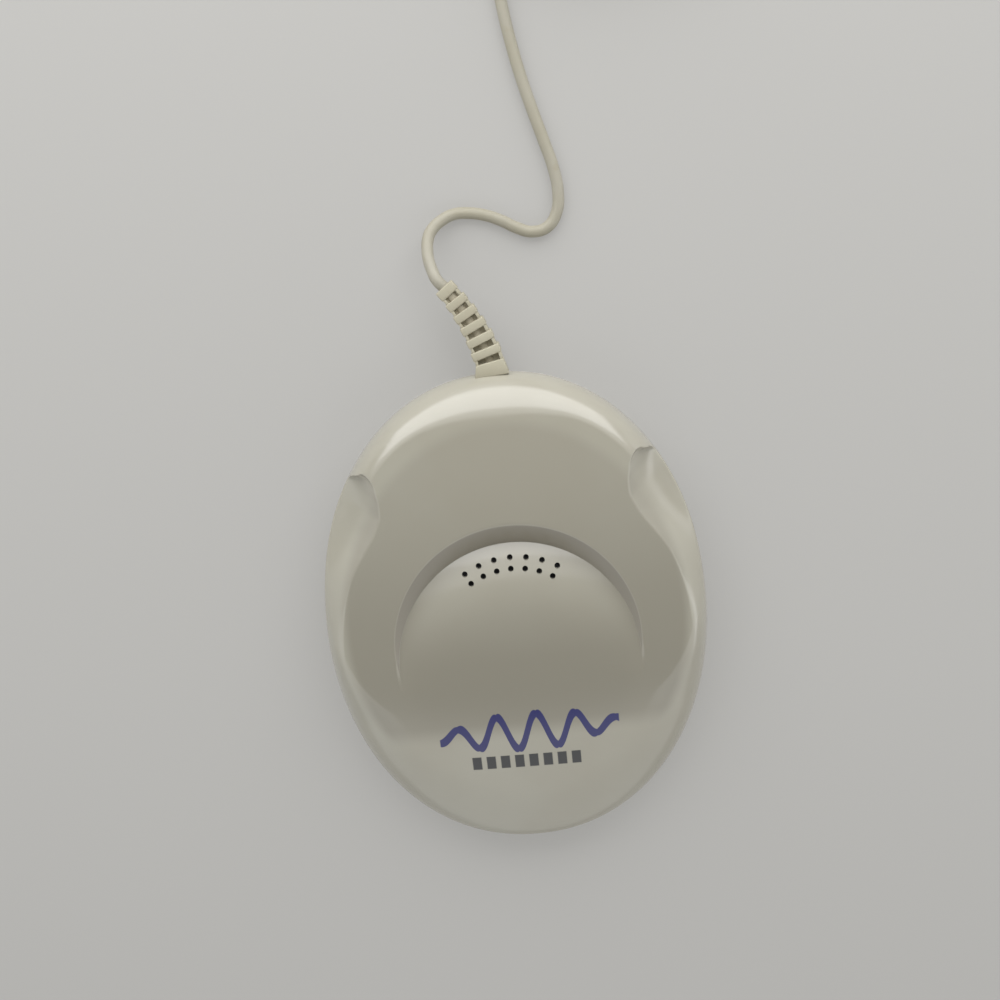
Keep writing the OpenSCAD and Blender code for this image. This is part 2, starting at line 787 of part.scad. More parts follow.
// Bar that holds the cord down on its saddle
module cord_grip() {
    color("ivory")
        difference() {
            translate([-grip_x - 3, grip_y - grip_w / 2, grip_post_z])
                cube([2 * grip_x + 6, grip_w, grip_t]);
            translate([0, grip_y - grip_w, cord_z])
                rotate([-90, 0, 0])
                    cylinder(2 * grip_w, r = cord_r, $fn = fine);
            at_grip_posts()
                translate([0, 0, grip_post_z - 1])
                    cylinder(grip_t + 2, r = clamp_screw_r + 0.15, $fn = fine);
        }
}

module grip_screws() {
    color("silver")
        at_grip_posts()
            translate([0, 0, grip_post_z + grip_t + clamp_head_t])
                rotate([180, 0, 0])
                    pan_screw(clamp_head_r, clamp_head_t, clamp_screw_r, 6);
}

// Segmented strain relief, moulded on the cord and bent with it
module strain_relief() {
    color("cornsilk")
        union() {
            translate([0, boot_y - boot_flange_in, cord_z])
                rotate([90, 0, 0])
                    cylinder(boot_flange_t, r = boot_flange_r, $fn = fine);
            translate([0, boot_y - boot_flange_in - 0.1, cord_z])
                rotate([-90, 0, 0])
                    cylinder(boot_flange_in + 0.2, r = neck_r, $fn = fine);
            translate([0, boot_y, cord_z])
                rotate([-90, 0, 0])
                    cylinder(wall + 0.4, r = neck_r, $fn = fine);
            on_bend(wall)
                bar([boot_w + 0.3, boot_w * boot_flat], 1.5, boot_first - window_w / 2 - wall);
            boot_core(near_mid, boot_bend_r, 0, boot_mid_angle);
            boot_core(far_mid, boot_far_r, boot_mid_angle, boot_far_angle);
            for (k = [0:boot_windows - 1]) {
                s = boot_first + k * boot_pitch;
                w = boot_size(s + boot_pitch / 2);
                next = k == boot_windows - 1 ? boot_l : s + boot_pitch - window_w / 2;
                on_bend(next)
                    translate([0, s + window_w / 2 - next, 0])
                        bar([w, w * boot_flat], 1.2, next - s - window_w / 2);
                for (side = [-1, 1])
                    on_bend(s - window_w / 2 - 0.3)
                        translate([side * (w / 2 - 0.2 - boot_web / 2), 0, 0])
                            bar([boot_web, w * boot_flat * 0.7], 0.25, window_w + 0.6);
                on_bend(s - window_w / 2 - 0.3)
                    bar([w - 1, boot_floor_t], 0.2, window_w + 0.6);
            }
        }
}
module boot_core(mid, r, start, angle) {
    translate(mid)
        rotate([0, 0, start])
            rotate_extrude(angle = angle, $fn = 180)
                translate([r, 0])
                    circle(cord_r + 0.55, $fn = fine);
}

module cord_run() {
    color("cornsilk")
        tube(concat([boot_tip, boot_exit], cord_route), cord_r);
}

// The cord's wound part, as the shape of the whole winding
module cord_coil() {
    color("cornsilk")
        translate([coil_at[0], coil_at[1], coil_rise + coil_w / 2])
            rotate_extrude($fn = 96)
                translate([coil_r, 0])
                    rounded([coil_w, coil_w], cord_r);
}

module cord_end() {
    color("cornsilk")
        tube(concat(end_route, [plug_at]), cord_r);
}

// Paper-covered wire tie round the coil
module cord_tie() {
    out = coil_w + 2 * coil_rise;
    color("white")
        translate([coil_at[0], coil_at[1], out / 2])
            rotate([0, 0, tie_angle])
                rotate_extrude(angle = tie_w / coil_r * 180 / PI, $fn = 96)
                    translate([coil_r, 0])
                        difference() {
                            rounded([out, out], cord_r + coil_rise);
                            rounded([coil_w, coil_w], cord_r);
                        }
}

// The plug points from its cord end towards the case
module on_plug() {
    translate(plug_at)
        rotate([90, 0, 0])
            children();
}

module plug_body() {
    r = plug_d / 2;
    color("cornsilk")
        on_plug()
            rotate_extrude($fn = 96)
                polygon([
                    [0, 0], [r * 0.5, 0], [r * 0.56, 0.6], [r * 0.78, plug_l * 0.3], [r - 0.4, plug_l * 0.34],
                    [r, plug_l * 0.37], [r, plug_l - 2.4], [r - 0.5, plug_l - 1.9], [r - 0.6, plug_l - 0.4],
                    [r - 1, plug_l], [0, plug_l]
                ]);
}

ring_w = 0.9;
tip_l = 4;
sleeve_l = shaft_l - tip_l - ring_w;
module plug_sleeve() {
    color("silver")
        on_plug()
            translate([0, 0, plug_l])
                cylinder(sleeve_l, d = shaft_d, $fn = fine);
}

module plug_insulator() {
    color("black")
        on_plug()
            translate([0, 0, plug_l + sleeve_l])
                cylinder(ring_w, d = shaft_d, $fn = fine);
}

module plug_tip() {
    r = shaft_d / 2;
    color("silver")
        on_plug()
            translate([0, 0, plug_l + sleeve_l + ring_w])
                rotate_extrude($fn = 96)
                    polygon([
                        [0, 0], [r, 0], [r, 0.6], [r - 0.5, 1.4], [r - 0.35, 2], [r - 0.1, 2.5],
                        [r - 0.3, 3.1], [r - 1, tip_l - 0.2], [r - 1.4, tip_l], [0, tip_l]
                    ]);
}

front_shell();
rear_shell();
case_screws();
dust_cloth();
driver_gasket();
driver_frame();
driver_plate();
driver_magnet();
driver_yoke();
voice_coil();
driver_spider();
driver_cone();
dust_cap();
terminal_board();
terminal_tags();
driver_clamps();
clamp_screws();
magnet_pad();
lead_red();
lead_black();
cord_tail();
cord_grip();
grip_screws();
strain_relief();
cord_run();
cord_coil();
cord_end();
cord_tie();
plug_body();
plug_sleeve();
plug_insulator();
plug_tip();
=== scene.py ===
import math

import bpy
import numpy as np
from mathutils import Euler, Matrix, Vector


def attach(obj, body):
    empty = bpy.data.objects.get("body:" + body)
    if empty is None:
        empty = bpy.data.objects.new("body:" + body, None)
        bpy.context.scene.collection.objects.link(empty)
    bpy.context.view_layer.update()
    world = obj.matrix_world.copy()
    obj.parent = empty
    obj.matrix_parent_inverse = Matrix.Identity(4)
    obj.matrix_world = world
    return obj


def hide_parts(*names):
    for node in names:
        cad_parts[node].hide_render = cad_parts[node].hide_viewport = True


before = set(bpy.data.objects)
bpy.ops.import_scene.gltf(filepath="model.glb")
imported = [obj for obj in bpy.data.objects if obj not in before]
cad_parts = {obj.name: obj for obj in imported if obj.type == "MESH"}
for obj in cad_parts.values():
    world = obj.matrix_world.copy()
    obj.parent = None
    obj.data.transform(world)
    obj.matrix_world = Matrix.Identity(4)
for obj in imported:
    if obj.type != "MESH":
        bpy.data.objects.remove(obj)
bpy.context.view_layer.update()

MM = 0.001


def placed(name, data):
    """A new object in the scene."""
    thing = bpy.data.objects.new(name, data)
    bpy.context.scene.collection.objects.link(thing)
    return thing


# Camera, with its place in mm and its turn in degrees

CAMERA_AT = (9.07, 106.04, 382.75)
CAMERA_TURN = (-11.70, 0.39, -5.76)
CAMERA_LENS, CAMERA_SENSOR = 54.0, 36.0

camera = placed("camera", bpy.data.cameras.new("camera"))
camera.data.lens = CAMERA_LENS
camera.data.sensor_width = CAMERA_SENSOR
camera.data.clip_start = 0.01
camera.data.clip_end = 20
camera_turn = Euler([math.radians(degrees) for degrees in CAMERA_TURN])
camera.matrix_world = Matrix.LocRotScale(Vector(CAMERA_AT) * MM, camera_turn, None)
bpy.context.scene.camera = camera

# Sizes in mm, of the case, its seam and the recesses of its screws

BODY_W, BODY_L, BODY_H = 98.0, 124.0, 22.0
BODY_END = BODY_L / 2
OVAL_POWER = 2.1
SPLIT_Z = 9.0
WALL = 2.0
REAR_ROUND = 10.0
CROWN_R = 600.0
RAMP_FROM, RAMP_R = 57.0, 250.0
REAR_INNER_ROUND = REAR_ROUND - WALL * 0.6
LAP_DEPTH, LAP_GAP = 1.0, 0.1
SEAM_GAP, FRONT_SEAM_IN, FRONT_SEAM_UP, REAR_SEAM = 0.02, 0.12, 0.18, 0.16
POST_PLACES = ((24, BODY_END - 21), (BODY_W / 2 - 27, -(BODY_END - 17)))
SCREW_RECESS_R, SCREW_RECESS_DEPTH, SCREW_RECESS_BELOW = 2.6, 3.2, 1

# Sizes of the dome, the crescent beside it and the sound holes

DOME_R, DOME_GAP = 30.5, 21.0
DOME_Y = -(BODY_END - DOME_R - DOME_GAP)
DOME_FLAT, DOME_SHOULDER = 14.0, 34.0
DOME_ROLL_FROM, DOME_ROLL_POWER = 0.2, 1.3
DOME_INNER_FLAT, DOME_INNER_SHOULDER, DOME_INNER_SQUEEZE = 21.5, 12.0, 0.8
DOME_INNER_FROM, DOME_INNER_FADE = -12, 18
DOME_THINNEST = 0.6
CRESCENT_W, CRESCENT_TIP, CRESCENT_LEAST = 5.3, 0.3, 0.8
CRESCENT_DEEP, CRESCENT_STEP, LIP_BLEND = 1.5, 0.02, 0.12
HOLE_COUNT, HOLE_ROWS, HOLE_D, HOLE_PITCH, HOLE_SHIFT = 7, 2, 1.42, 10.2, 4.3
HOLE_ROW_R, HOLE_ROW_GAP = 22.8, 2.7
HOLE_FROM_Z, HOLE_LONG = 13.5, 10
HOLE_SIDES, ROUND_SIDES = 32, 48

# Sizes of the cord and its strain relief, which bends to one side

CORD_D = 3.0
CORD_Z = SPLIT_Z
BOOT_L, BOOT_W, BOOT_TIP_W, BOOT_FLAT = 26.6, 8.0, 4.9, 0.86
BOOT_NECK_R = BOOT_W / 2 - 0.8
OPENING_GAP, OPENING_AHEAD, OPENING_LONG = 0.1, 4, 9
BOOT_WINDOWS, WINDOW_W, BOOT_FIRST, BOOT_LAST = 6, 1.4, WALL + 3.55, BOOT_L - 3.25
BOOT_NEAR_R, BOOT_FAR_R, BOOT_TURN = 16.0, 52.0, WALL + 4.5
BOOT_MID_ANGLE = (BOOT_TURN - WALL) / BOOT_NEAR_R
BOOT_EXIT = 2.4


def on_bend(s, side=0.0):
    """Place and turn on the strain relief's bend, at the distance s from the case's inner face."""
    if s <= BOOT_TURN:
        turn = max(0.0, s - WALL) / BOOT_NEAR_R
        r = BOOT_NEAR_R + side
        x = r * math.cos(turn) - BOOT_NEAR_R
        y = BODY_END + r * math.sin(turn) + min(0.0, s - WALL)
    else:
        turn = BOOT_MID_ANGLE + (s - BOOT_TURN) / BOOT_FAR_R
        r, wider = BOOT_FAR_R + side, BOOT_FAR_R - BOOT_NEAR_R
        x = r * math.cos(turn) - BOOT_NEAR_R - wider * math.cos(BOOT_MID_ANGLE)
        y = BODY_END + r * math.sin(turn) - wider * math.sin(BOOT_MID_ANGLE)
    return Vector((x, y, CORD_Z)), turn


# Cord, from the strain relief over its seen stretch to the coil and the plug

CORD_ROUTE = [
    (-12.2, 88.6, 7.9), (-12.8, 91, 6.8), (-12.9, 93.5, 5.7), (-12.6, 95.8, 4.6),
    (-11.6, 97.9, 3.6), (-8.8, 100.2, 2.5), (-5.6, 101.4, 1.8), (-1.8, 101.3, 1.5), (2.4, 100.3, 1.5),
    (6.2, 98.6, 1.5), (9.6, 96.6, 1.5), (13.4, 95.2, 1.5), (17.4, 96, 1.5),
    (20, 99.4, 1.5), (20.8, 104, 1.5), (20.2, 110, 1.5), (18.4, 117, 1.5),
    (16.2, 125, 1.5), (14.2, 133, 1.5), (12.6, 141, 1.5), (11.4, 149, 1.5),
    (10.6, 157, 1.5), (10.2, 165, 1.5), (10, 173, 1.6), (9.9, 179, 1.8), (9.9, 184, 2.1),
]
END_ROUTE = [
    (39, 209.6, 10.3), (45, 209.6, 9), (51, 208.2, 7.4), (56.6, 205.2, 5.9),
    (60.6, 201.2, 4.7), (62, 197, 4), (62, 194.2, 4),
]
COIL_AT = (34.0, 186.0)
COIL_INNER, COIL_OUTER, COIL_LEAD_R = 11.95, 21.05, 24.1
COIL_LAYERS, COIL_FIRST_Z, COIL_LAYER_H = 4, 2.2, 3.0
COIL_TURNS = (COIL_OUTER - COIL_INNER) / CORD_D
COIL_KNOTS = 16
COIL_STEPS = round(COIL_TURNS * COIL_KNOTS)
QUARTERS = (0.25, 0.5, 0.75)
# Angles on the coil: in to the outermost turn, up a layer on the inner and the outer side, and away
COIL_IN, RISE_INNER, RISE_OUTER, COIL_AWAY = (math.radians(a) for a in (80, 58, 34, 60))
COIL_AWAY_STEP = math.radians(22)


def smoothstep(x):
    x = np.clip(x, 0, 1)
    return x * x * (3 - 2 * x)


def on_coil(angle, radius, z):
    return COIL_AT[0] + radius * math.cos(angle), COIL_AT[1] + radius * math.sin(angle), z


def coil_points():
    """Turns wound side by side, inwards and outwards layer on layer, and the angle they end at."""
    angle = math.pi
    points = []
    for s in QUARTERS:
        r = COIL_LEAD_R + (COIL_OUTER - COIL_LEAD_R) * smoothstep(s)
        points.append(on_coil(angle - s * COIL_IN, r, COIL_FIRST_Z))
    angle -= COIL_IN
    for layer in range(COIL_LAYERS):
        z = COIL_FIRST_Z + layer * COIL_LAYER_H
        inward = layer % 2 == 0
        for i in range(COIL_STEPS + 1):
            s = i / COIL_STEPS
            r = COIL_OUTER + (COIL_INNER - COIL_OUTER) * (s if inward else 1 - s)
            points.append(on_coil(angle - s * COIL_TURNS * 2 * math.pi, r, z))
        angle -= COIL_TURNS * 2 * math.pi
        if layer < COIL_LAYERS - 1:
            r, rise = (COIL_INNER, RISE_INNER) if inward else (COIL_OUTER, RISE_OUTER)
            for s in QUARTERS:
                points.append(on_coil(angle - rise * s, r, z + COIL_LAYER_H * smoothstep(s)))
            angle -= rise
    return points, angle


def leave_coil(angle):
    """Last part of the outermost turn, out to the stretch that carries the plug."""
    out_x, out_y, out_z = END_ROUTE[0]
    top = COIL_FIRST_Z + (COIL_LAYERS - 1) * COIL_LAYER_H
    span = (angle - math.atan2(out_y - COIL_AT[1], out_x - COIL_AT[0])) % (2 * math.pi)
    count = max(3, round(span / COIL_AWAY_STEP))
    points = []
    for i in range(1, count):
        turned = i / count * span
        away = smoothstep((turned - span + COIL_AWAY) / COIL_AWAY)
        r = COIL_OUTER + (COIL_LEAD_R - COIL_OUTER) * away
        points.append(on_coil(angle - turned, r, top + (out_z - top) * away))
    return points


def round_curve(name, points, radius, sides):
    """A round cord along one open spline."""
    data = bpy.data.curves.new(name, "CURVE")
    data.dimensions = "3D"
    data.resolution_u = 6
    data.render_resolution_u = 6
    data.bevel_depth = 1.0
    data.bevel_resolution = sides
    data.use_fill_caps = True
    spline = data.splines.new("BEZIER")
    spline.bezier_points.add(len(points) - 1)
    for knot, point in zip(spline.bezier_points, points):
        knot.co = Vector(point) * MM
        knot.handle_left_type = knot.handle_right_type = "AUTO"
        knot.radius = radius * MM
    return placed(name, data)


boot_tip, boot_angle = on_bend(BOOT_L)
boot_exit = boot_tip + BOOT_EXIT * Vector((-math.sin(boot_angle), math.cos(boot_angle), 0))
coil_turns, last_angle = coil_points()
cord_line = [boot_tip, boot_exit] + CORD_ROUTE + coil_turns + leave_coil(last_angle) + END_ROUTE
cord = round_curve("cord", cord_line, CORD_D / 2, sides=5)
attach(cord, "root")
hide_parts("cord_run", "cord_coil", "cord_end")

# Nodes of materials and of the world

MIX_FACTOR, MIX_UNDER, MIX_OVER, MIX_RESULT = 0, 6, 7, 2


class Value:
    """A node's output, with arithmetic that adds Math nodes."""

    def __init__(self, nodes, socket):
        self.nodes = nodes
        self.socket = socket

    def op(self, operation, *others):
        inputs = dict(enumerate([self, *others]))
        return self.nodes.node("ShaderNodeMath", {"operation": operation}, inputs).out("Value")

    def __add__(self, other):
        return self.op("ADD", other)

    __radd__ = __add__

    def __mul__(self, other):
        return self.op("MULTIPLY", other)

    __rmul__ = __mul__

    def __sub__(self, other):
        return self.op("SUBTRACT", other)

    def __rsub__(self, other):
        return (self * -1) + other

    def __truediv__(self, other):
        return self.op("DIVIDE", other)

    def __abs__(self):
        return self.op("ABSOLUTE")

    def sin(self):
        return self.op("SINE")

    def high(self, other):
        return self.op("MAXIMUM", other)

    def band(self, start, end):
        """0 at start and before, 1 at end and after."""
        inputs = {"Value": self, "From Min": start, "From Max": end, "To Min": 0.0, "To Max": 1.0}
        ramp = self.nodes.node("ShaderNodeMapRange", {"interpolation_type": "SMOOTHSTEP"}, inputs)
        return ramp.out("Result")


class Node:
    """A node, for its outputs by name or number."""

    def __init__(self, nodes, node):
        self.nodes = nodes
        self.node = node

    def out(self, name):
        return Value(self.nodes, self.node.outputs[name])


class Nodes:
    """The nodes of a material or of the world."""

    def __init__(self, tree):
        self.tree = tree

    def put(self, socket, value):
        """Links or sets one socket."""
        if isinstance(value, Value):
            self.tree.links.new(value.socket, socket)
        elif socket.type == "RGBA":
            socket.default_value = (*value, 1)
        else:
            socket.default_value = value

    def node(self, kind, settings, inputs):
        """A node of a type, with its settings and the values or links of its sockets."""
        node = self.tree.nodes.new(kind)
        for key, value in settings.items():
            setattr(node, key, value)
        for key, value in inputs.items():
            self.put(node.inputs[key], value)
        return Node(self, node)

    def place(self):
        return self.node("ShaderNodeTexCoord", {}, {}).out("Object")

    def axes(self, place):
        split = self.node("ShaderNodeSeparateXYZ", {}, {"Vector": place})
        return split.out("X"), split.out("Y"), split.out("Z")

    def noise(self, place, scale, detail, rough=0.5):
        inputs = {"Vector": place, "Scale": scale, "Detail": detail, "Roughness": rough}
        return self.node("ShaderNodeTexNoise", {}, inputs).out("Fac")

    def stretched(self, place, factors):
        inputs = {0: place, 1: factors}
        return self.node("ShaderNodeVectorMath", {"operation": "MULTIPLY"}, inputs).out("Vector")

    def blend(self, mask, under, over):
        inputs = {MIX_FACTOR: mask, MIX_UNDER: under, MIX_OVER: over}
        return self.node("ShaderNodeMix", {"data_type": "RGBA"}, inputs).out(MIX_RESULT)

    def bump(self, height, distance, strength=1.0):
        inputs = {"Height": height, "Distance": distance, "Strength": strength}
        return self.node("ShaderNodeBump", {}, inputs).out("Normal")


class Finish(Nodes):
    """A procedural material, whose fixed values stand on its shader's own sockets."""

    def __init__(self, name, **fixed):
        self.material = bpy.data.materials.new(name)
        self.material.use_nodes = True
        super().__init__(self.material.node_tree)
        self.tree.nodes.clear()
        inputs = {key.replace("_", " "): value for key, value in fixed.items()}
        self.shader = self.node("ShaderNodeBsdfPrincipled", {}, inputs)
        self.output = self.node("ShaderNodeOutputMaterial", {}, {"Surface": self.shader.out("BSDF")})

    def feed(self, name, value):
        self.put(self.shader.node.inputs[name], value)
        return self


# Colours, and the masks of the case's plastic in mm

def linear(r, g, b):
    """Colour as read from a screen, 0 to 255, as the shader takes it."""
    shares = (r / 255, g / 255, b / 255)
    return tuple(c / 12.92 if c <= 0.04045 else ((c + 0.055) / 1.055) ** 2.4 for c in shares)


def darker(colour, share):
    return tuple(c * share for c in colour)


CASE_WHITE, CASE_SHADE = linear(174, 171, 158), linear(169, 165, 151)
# Painted shade: grey on the front's lower face and dome, and darker grey in the crescent beside the dome
FACE_PAINTED_SHADE, RECESS_PAINTED_SHADE = linear(148, 144, 131), linear(127, 121, 107)
DUST_BROWN, GRIME_BROWN = linear(96, 88, 74), linear(150, 140, 112)
INK_BLUE, INK_GREY = linear(32, 35, 102), linear(36, 38, 41)
CORD_CREAM, CORD_SHADE = linear(167, 163, 149), linear(161, 156, 138)
BOOT_CREAM, BOOT_SHADE = linear(181, 176, 156), linear(173, 167, 146)
# Painted shade: a darker vinyl for the soles and the core, deep in the strain relief's windows
SOLE_PAINTED_SHADE, SOLE_PAINTED_SHADE_DEEP = linear(178, 171, 151), linear(168, 160, 140)
TIE_WHITE = linear(206, 206, 200)
FLOOR_GREY, FLOOR_GLOW = linear(188, 187, 184), linear(190, 189, 186)

FRONT_FROM = (12, 13)
# Edges of the painted shade in the crescent, at the dome's rim and at the lip
RECESS_INSIDE, RECESS_OUTSIDE = (-0.1, 0.25), (-0.3, 0.0)
# Size, edge and lower end of the painted shade on the front's face
FACE_SHADE_HALF_W, FACE_SHADE_HALF_L, FACE_SHADE_EDGE, FACE_SHADE_FROM = 43.5, 51, (0.95, 1.03), (-21, -15)
# Share of the painted shade towards the cord, what is added lower down, and where it fades, on the face
# and on the dome
FACE_TONE, FACE_LOW, FACE_FADE = 0.42, 0.45, (8, 52)
DOME_TONE, DOME_LOW, DOME_FADE, DOME_OUTSIDE = 0.35, 0.6, (0, 20), (25.5, 32.5)
WAVE_Y, WAVE_TILT, WAVE_MIDDLE, WAVE_END = -29.0, 0.01, 0.5, (22.9, 23.2)
WAVE_TURN, WAVE_SWING, WAVE_FADE, WAVE_FADED = 0.62, 4.6, (6, 25), 0.75
WAVE_LINE, WAVE_STEEP, INK_EDGE = 0.95, 1.44, 0.12
ROW_Y, ROW_TILT, ROW_MIDDLE, ROW_END, ROW_EDGE = -37.4, 0.02, -0.9, (14.4, 14.5), (1.7, 1.9)
BAR_PITCH, BAR_EDGE = 3.65, (1.05, 1.3)


def in_mm(finish):
    """Place on the case in mm, and the mask of its front."""
    x, y, z = finish.axes(finish.place())
    return x * 1000, y * 1000, (z * 1000).band(*FRONT_FROM)


def length_of(a, b):
    return (a * a + b * b).op("SQRT")


def specks(finish, place, scale, share, size):
    """Mask of sparse small spots of dust."""
    spots = finish.node("ShaderNodeTexVoronoi", {}, {"Vector": place, "Scale": scale, "Randomness": 1.0})
    near = 1 - spots.out("Distance").band(size * 0.6, size)
    cell = finish.node("ShaderNodeSeparateColor", {}, {"Color": spots.out("Color")})
    return near * cell.out("Red").op("GREATER_THAN", 1 - share)


def painted_recess_shade(finish):
    """Mask of the crescent beside the dome, painted shade in the recess."""
    x, y, front = in_mm(finish)
    y = y - DOME_Y
    r = length_of(x, y)
    reach = CRESCENT_TIP + (CRESCENT_W - CRESCENT_TIP) * (y / r)
    inside = (r - DOME_R).band(*RECESS_INSIDE)
    return inside * (1 - (r - DOME_R - reach).band(*RECESS_OUTSIDE)) * front


def painted_face_shade(finish):
    """Mask of the lower face and the dome, painted shade that is darker lower down."""
    x, along, front = in_mm(finish)
    y = along - DOME_Y
    beside = length_of(x, y).band(*DOME_OUTSIDE)
    face = FACE_TONE + FACE_LOW * (1 - y.band(*FACE_FADE))
    dome = DOME_TONE + DOME_LOW * (1 - y.band(*DOME_FADE))
    edge = length_of(x / FACE_SHADE_HALF_W, along / FACE_SHADE_HALF_L).band(*FACE_SHADE_EDGE)
    return (beside * face + (1 - beside) * dome) * y.band(*FACE_SHADE_FROM) * (1 - edge) * front


def print_on(finish, colour):
    """The ink's mask and the colour with a plain wave line over a row of bars, in the two inks."""
    x, y, front = in_mm(finish)
    aside = abs(x - WAVE_MIDDLE)
    fade = 1 - aside.band(*WAVE_FADE) * WAVE_FADED
    turn = x * WAVE_TURN
    away = abs(y - WAVE_Y - x * WAVE_TILT - turn.sin() * fade * WAVE_SWING)
    width = WAVE_LINE + abs((turn + math.pi / 2).sin()) * fade * WAVE_STEEP
    wave = (1 - away.band(width - INK_EDGE, width + INK_EDGE)) * (1 - aside.band(*WAVE_END)) * front
    along = x - ROW_MIDDLE
    bars = abs((along / BAR_PITCH).op("FRACT") - 0.5) * BAR_PITCH
    in_row = 1 - abs(y - ROW_Y + x * ROW_TILT).band(*ROW_EDGE)
    row = in_row * (1 - bars.band(*BAR_EDGE)) * (1 - abs(along).band(*ROW_END)) * front
    colour = finish.blend(wave, colour, INK_BLUE)
    return wave.high(row), finish.blend(row, colour, INK_GREY)


# Materials

def case_plastic(name, printed):
    """Glossy moulded plastic with a few specks of dust, and on the front its print and painted shade on
    the lower face, the dome and the crescent.
    """
    finish = Finish(name, IOR=1.6, Coat_Weight=0.8, Coat_Roughness=0.17)
    place = finish.place()
    tone = finish.noise(place, scale=28, detail=3)
    colour = finish.blend(tone.band(0.35, 0.7), CASE_WHITE, CASE_SHADE)
    dust = specks(finish, place, scale=95, share=0.035, size=0.035)
    colour = finish.blend(dust * 0.55, colour, DUST_BROWN)
    rough = 0.2 + 0.06 * finish.noise(place, scale=60, detail=3)
    grain = finish.noise(place, scale=1500, detail=2)
    waves = finish.noise(place, scale=90, detail=1)
    if printed:
        # Painted shade on the lower face and the dome, then in the crescent beside the dome
        colour = finish.blend(painted_face_shade(finish), colour, FACE_PAINTED_SHADE)
        colour = finish.blend(painted_recess_shade(finish) * (0.75 + 0.25 * tone), colour, RECESS_PAINTED_SHADE)
        ink, colour = print_on(finish, colour)
        rough = rough + ink * 0.12
    finish.feed("Base Color", colour).feed("Roughness", rough)
    finish.feed("Normal", finish.bump(grain * 0.35 + waves, distance=0.02 * MM, strength=0.6))
    return finish.material


def vinyl(name, colour, shade, rough):
    """Soft plastic of the cord and its mouldings, with a little grime."""
    finish = Finish(name, IOR=1.5)
    place = finish.place()
    base = finish.blend(finish.noise(place, scale=60, detail=3).band(0.3, 0.75), colour, shade)
    grime = finish.noise(place, scale=260, detail=4).band(0.62, 0.8)
    finish.feed("Base Color", finish.blend(grime * 0.25, base, GRIME_BROWN))
    finish.feed("Roughness", rough + 0.12 * finish.noise(place, scale=150, detail=2))
    pores = finish.noise(place, scale=1800, detail=3)
    finish.feed("Normal", finish.bump(pores, distance=0.03 * MM, strength=0.7))
    return finish.material


def metal(name, colour, rough, grain=900, streak=(1, 1, 1)):
    """Bare or plated metal, with fine lines along the axes where the streak is small."""
    finish = Finish(name, Metallic=1.0)
    place = finish.place()
    lines = finish.noise(finish.stretched(place, streak), grain, detail=3)
    patches = finish.noise(place, scale=120, detail=3)
    finish.feed("Base Color", finish.blend(patches, colour, darker(colour, 0.82)))
    finish.feed("Roughness", rough + 0.12 * lines)
    finish.feed("Normal", finish.bump(lines, distance=0.01 * MM, strength=0.6))
    return finish.material


def matt(name, colour, rough, grain, depth=0.05, spread=0.25):
    """Matt finish with a grain of a depth in mm and darker hollows."""
    finish = Finish(name, Specular_IOR_Level=0.3)
    fibre = finish.noise(finish.place(), grain, detail=4, rough=0.6)
    finish.feed("Base Color", finish.blend(fibre.band(0.3, 0.7), darker(colour, 1 - spread), colour))
    finish.feed("Roughness", rough)
    finish.feed("Normal", finish.bump(fibre, depth * MM))
    return finish.material


def woven(name, colour):
    """Open cloth with crossing threads, 0.35 mm apart."""
    finish = Finish(name, Specular_IOR_Level=0.2)
    x, y, z = finish.axes(finish.place())
    threads = abs((x * 9000).sin()).high(abs((y * 9000).sin()))
    finish.feed("Base Color", finish.blend(threads.band(0.3, 1.0), darker(colour, 0.3), colour))
    finish.feed("Roughness", 0.9)
    finish.feed("Normal", finish.bump(threads, 0.08 * MM))
    return finish.material


def dress(thing, material):
    thing.data.materials.clear()
    thing.data.materials.append(material)


case_printed = case_plastic("case_plastic_printed", True)
case_plain = case_plastic("case_plastic_plain", False)
cord_vinyl = vinyl("cord_vinyl", CORD_CREAM, CORD_SHADE, 0.42)
boot_vinyl = vinyl("boot_vinyl", BOOT_CREAM, BOOT_SHADE, 0.48)
# Vinyl of the soles and the core, darker as painted shade in the windows
painted_shade_vinyl = vinyl("boot_painted_shade", SOLE_PAINTED_SHADE, SOLE_PAINTED_SHADE_DEEP, 0.55)
zinc = metal("zinc_plated_steel", (0.62, 0.62, 0.60), 0.28)
pressed = metal("pressed_steel", (0.40, 0.41, 0.42), 0.4)
nickel = metal("nickel_plate", (0.80, 0.77, 0.72), 0.14, 2400, streak=(1, 0.1, 1))
brass = metal("tinned_brass", (0.76, 0.66, 0.44), 0.3)
copper = metal("copper_winding", (0.80, 0.42, 0.24), 0.35, 3000, streak=(0.1, 0.1, 8))
ferrite = matt("ferrite", (0.045, 0.045, 0.05), 0.55, 1600)
cone_paper = matt("cone_paper", (0.035, 0.034, 0.033), 0.85, 1200, depth=0.12, spread=0.4)
spider_cloth = matt("spider_cloth", (0.46, 0.28, 0.12), 0.85, 2200, depth=0.1, spread=0.35)
foam = matt("black_foam", (0.03, 0.03, 0.03), 0.95, 2600, depth=0.2, spread=0.5)
tag_board = matt("tag_board", (0.22, 0.11, 0.05), 0.6, 700)
wire_red = matt("wire_red", (0.42, 0.03, 0.02), 0.4, 900, depth=0.01, spread=0.1)
wire_black = matt("wire_black", (0.02, 0.02, 0.02), 0.4, 900, depth=0.01, spread=0.1)
ring_black = matt("insulating_ring", (0.02, 0.02, 0.02), 0.35, 900, depth=0.01, spread=0.1)
tie_white = matt("wire_tie", TIE_WHITE, 0.5, 500, depth=0.04, spread=0.08)
dust_cloth = woven("dust_cloth", (0.028, 0.028, 0.03))

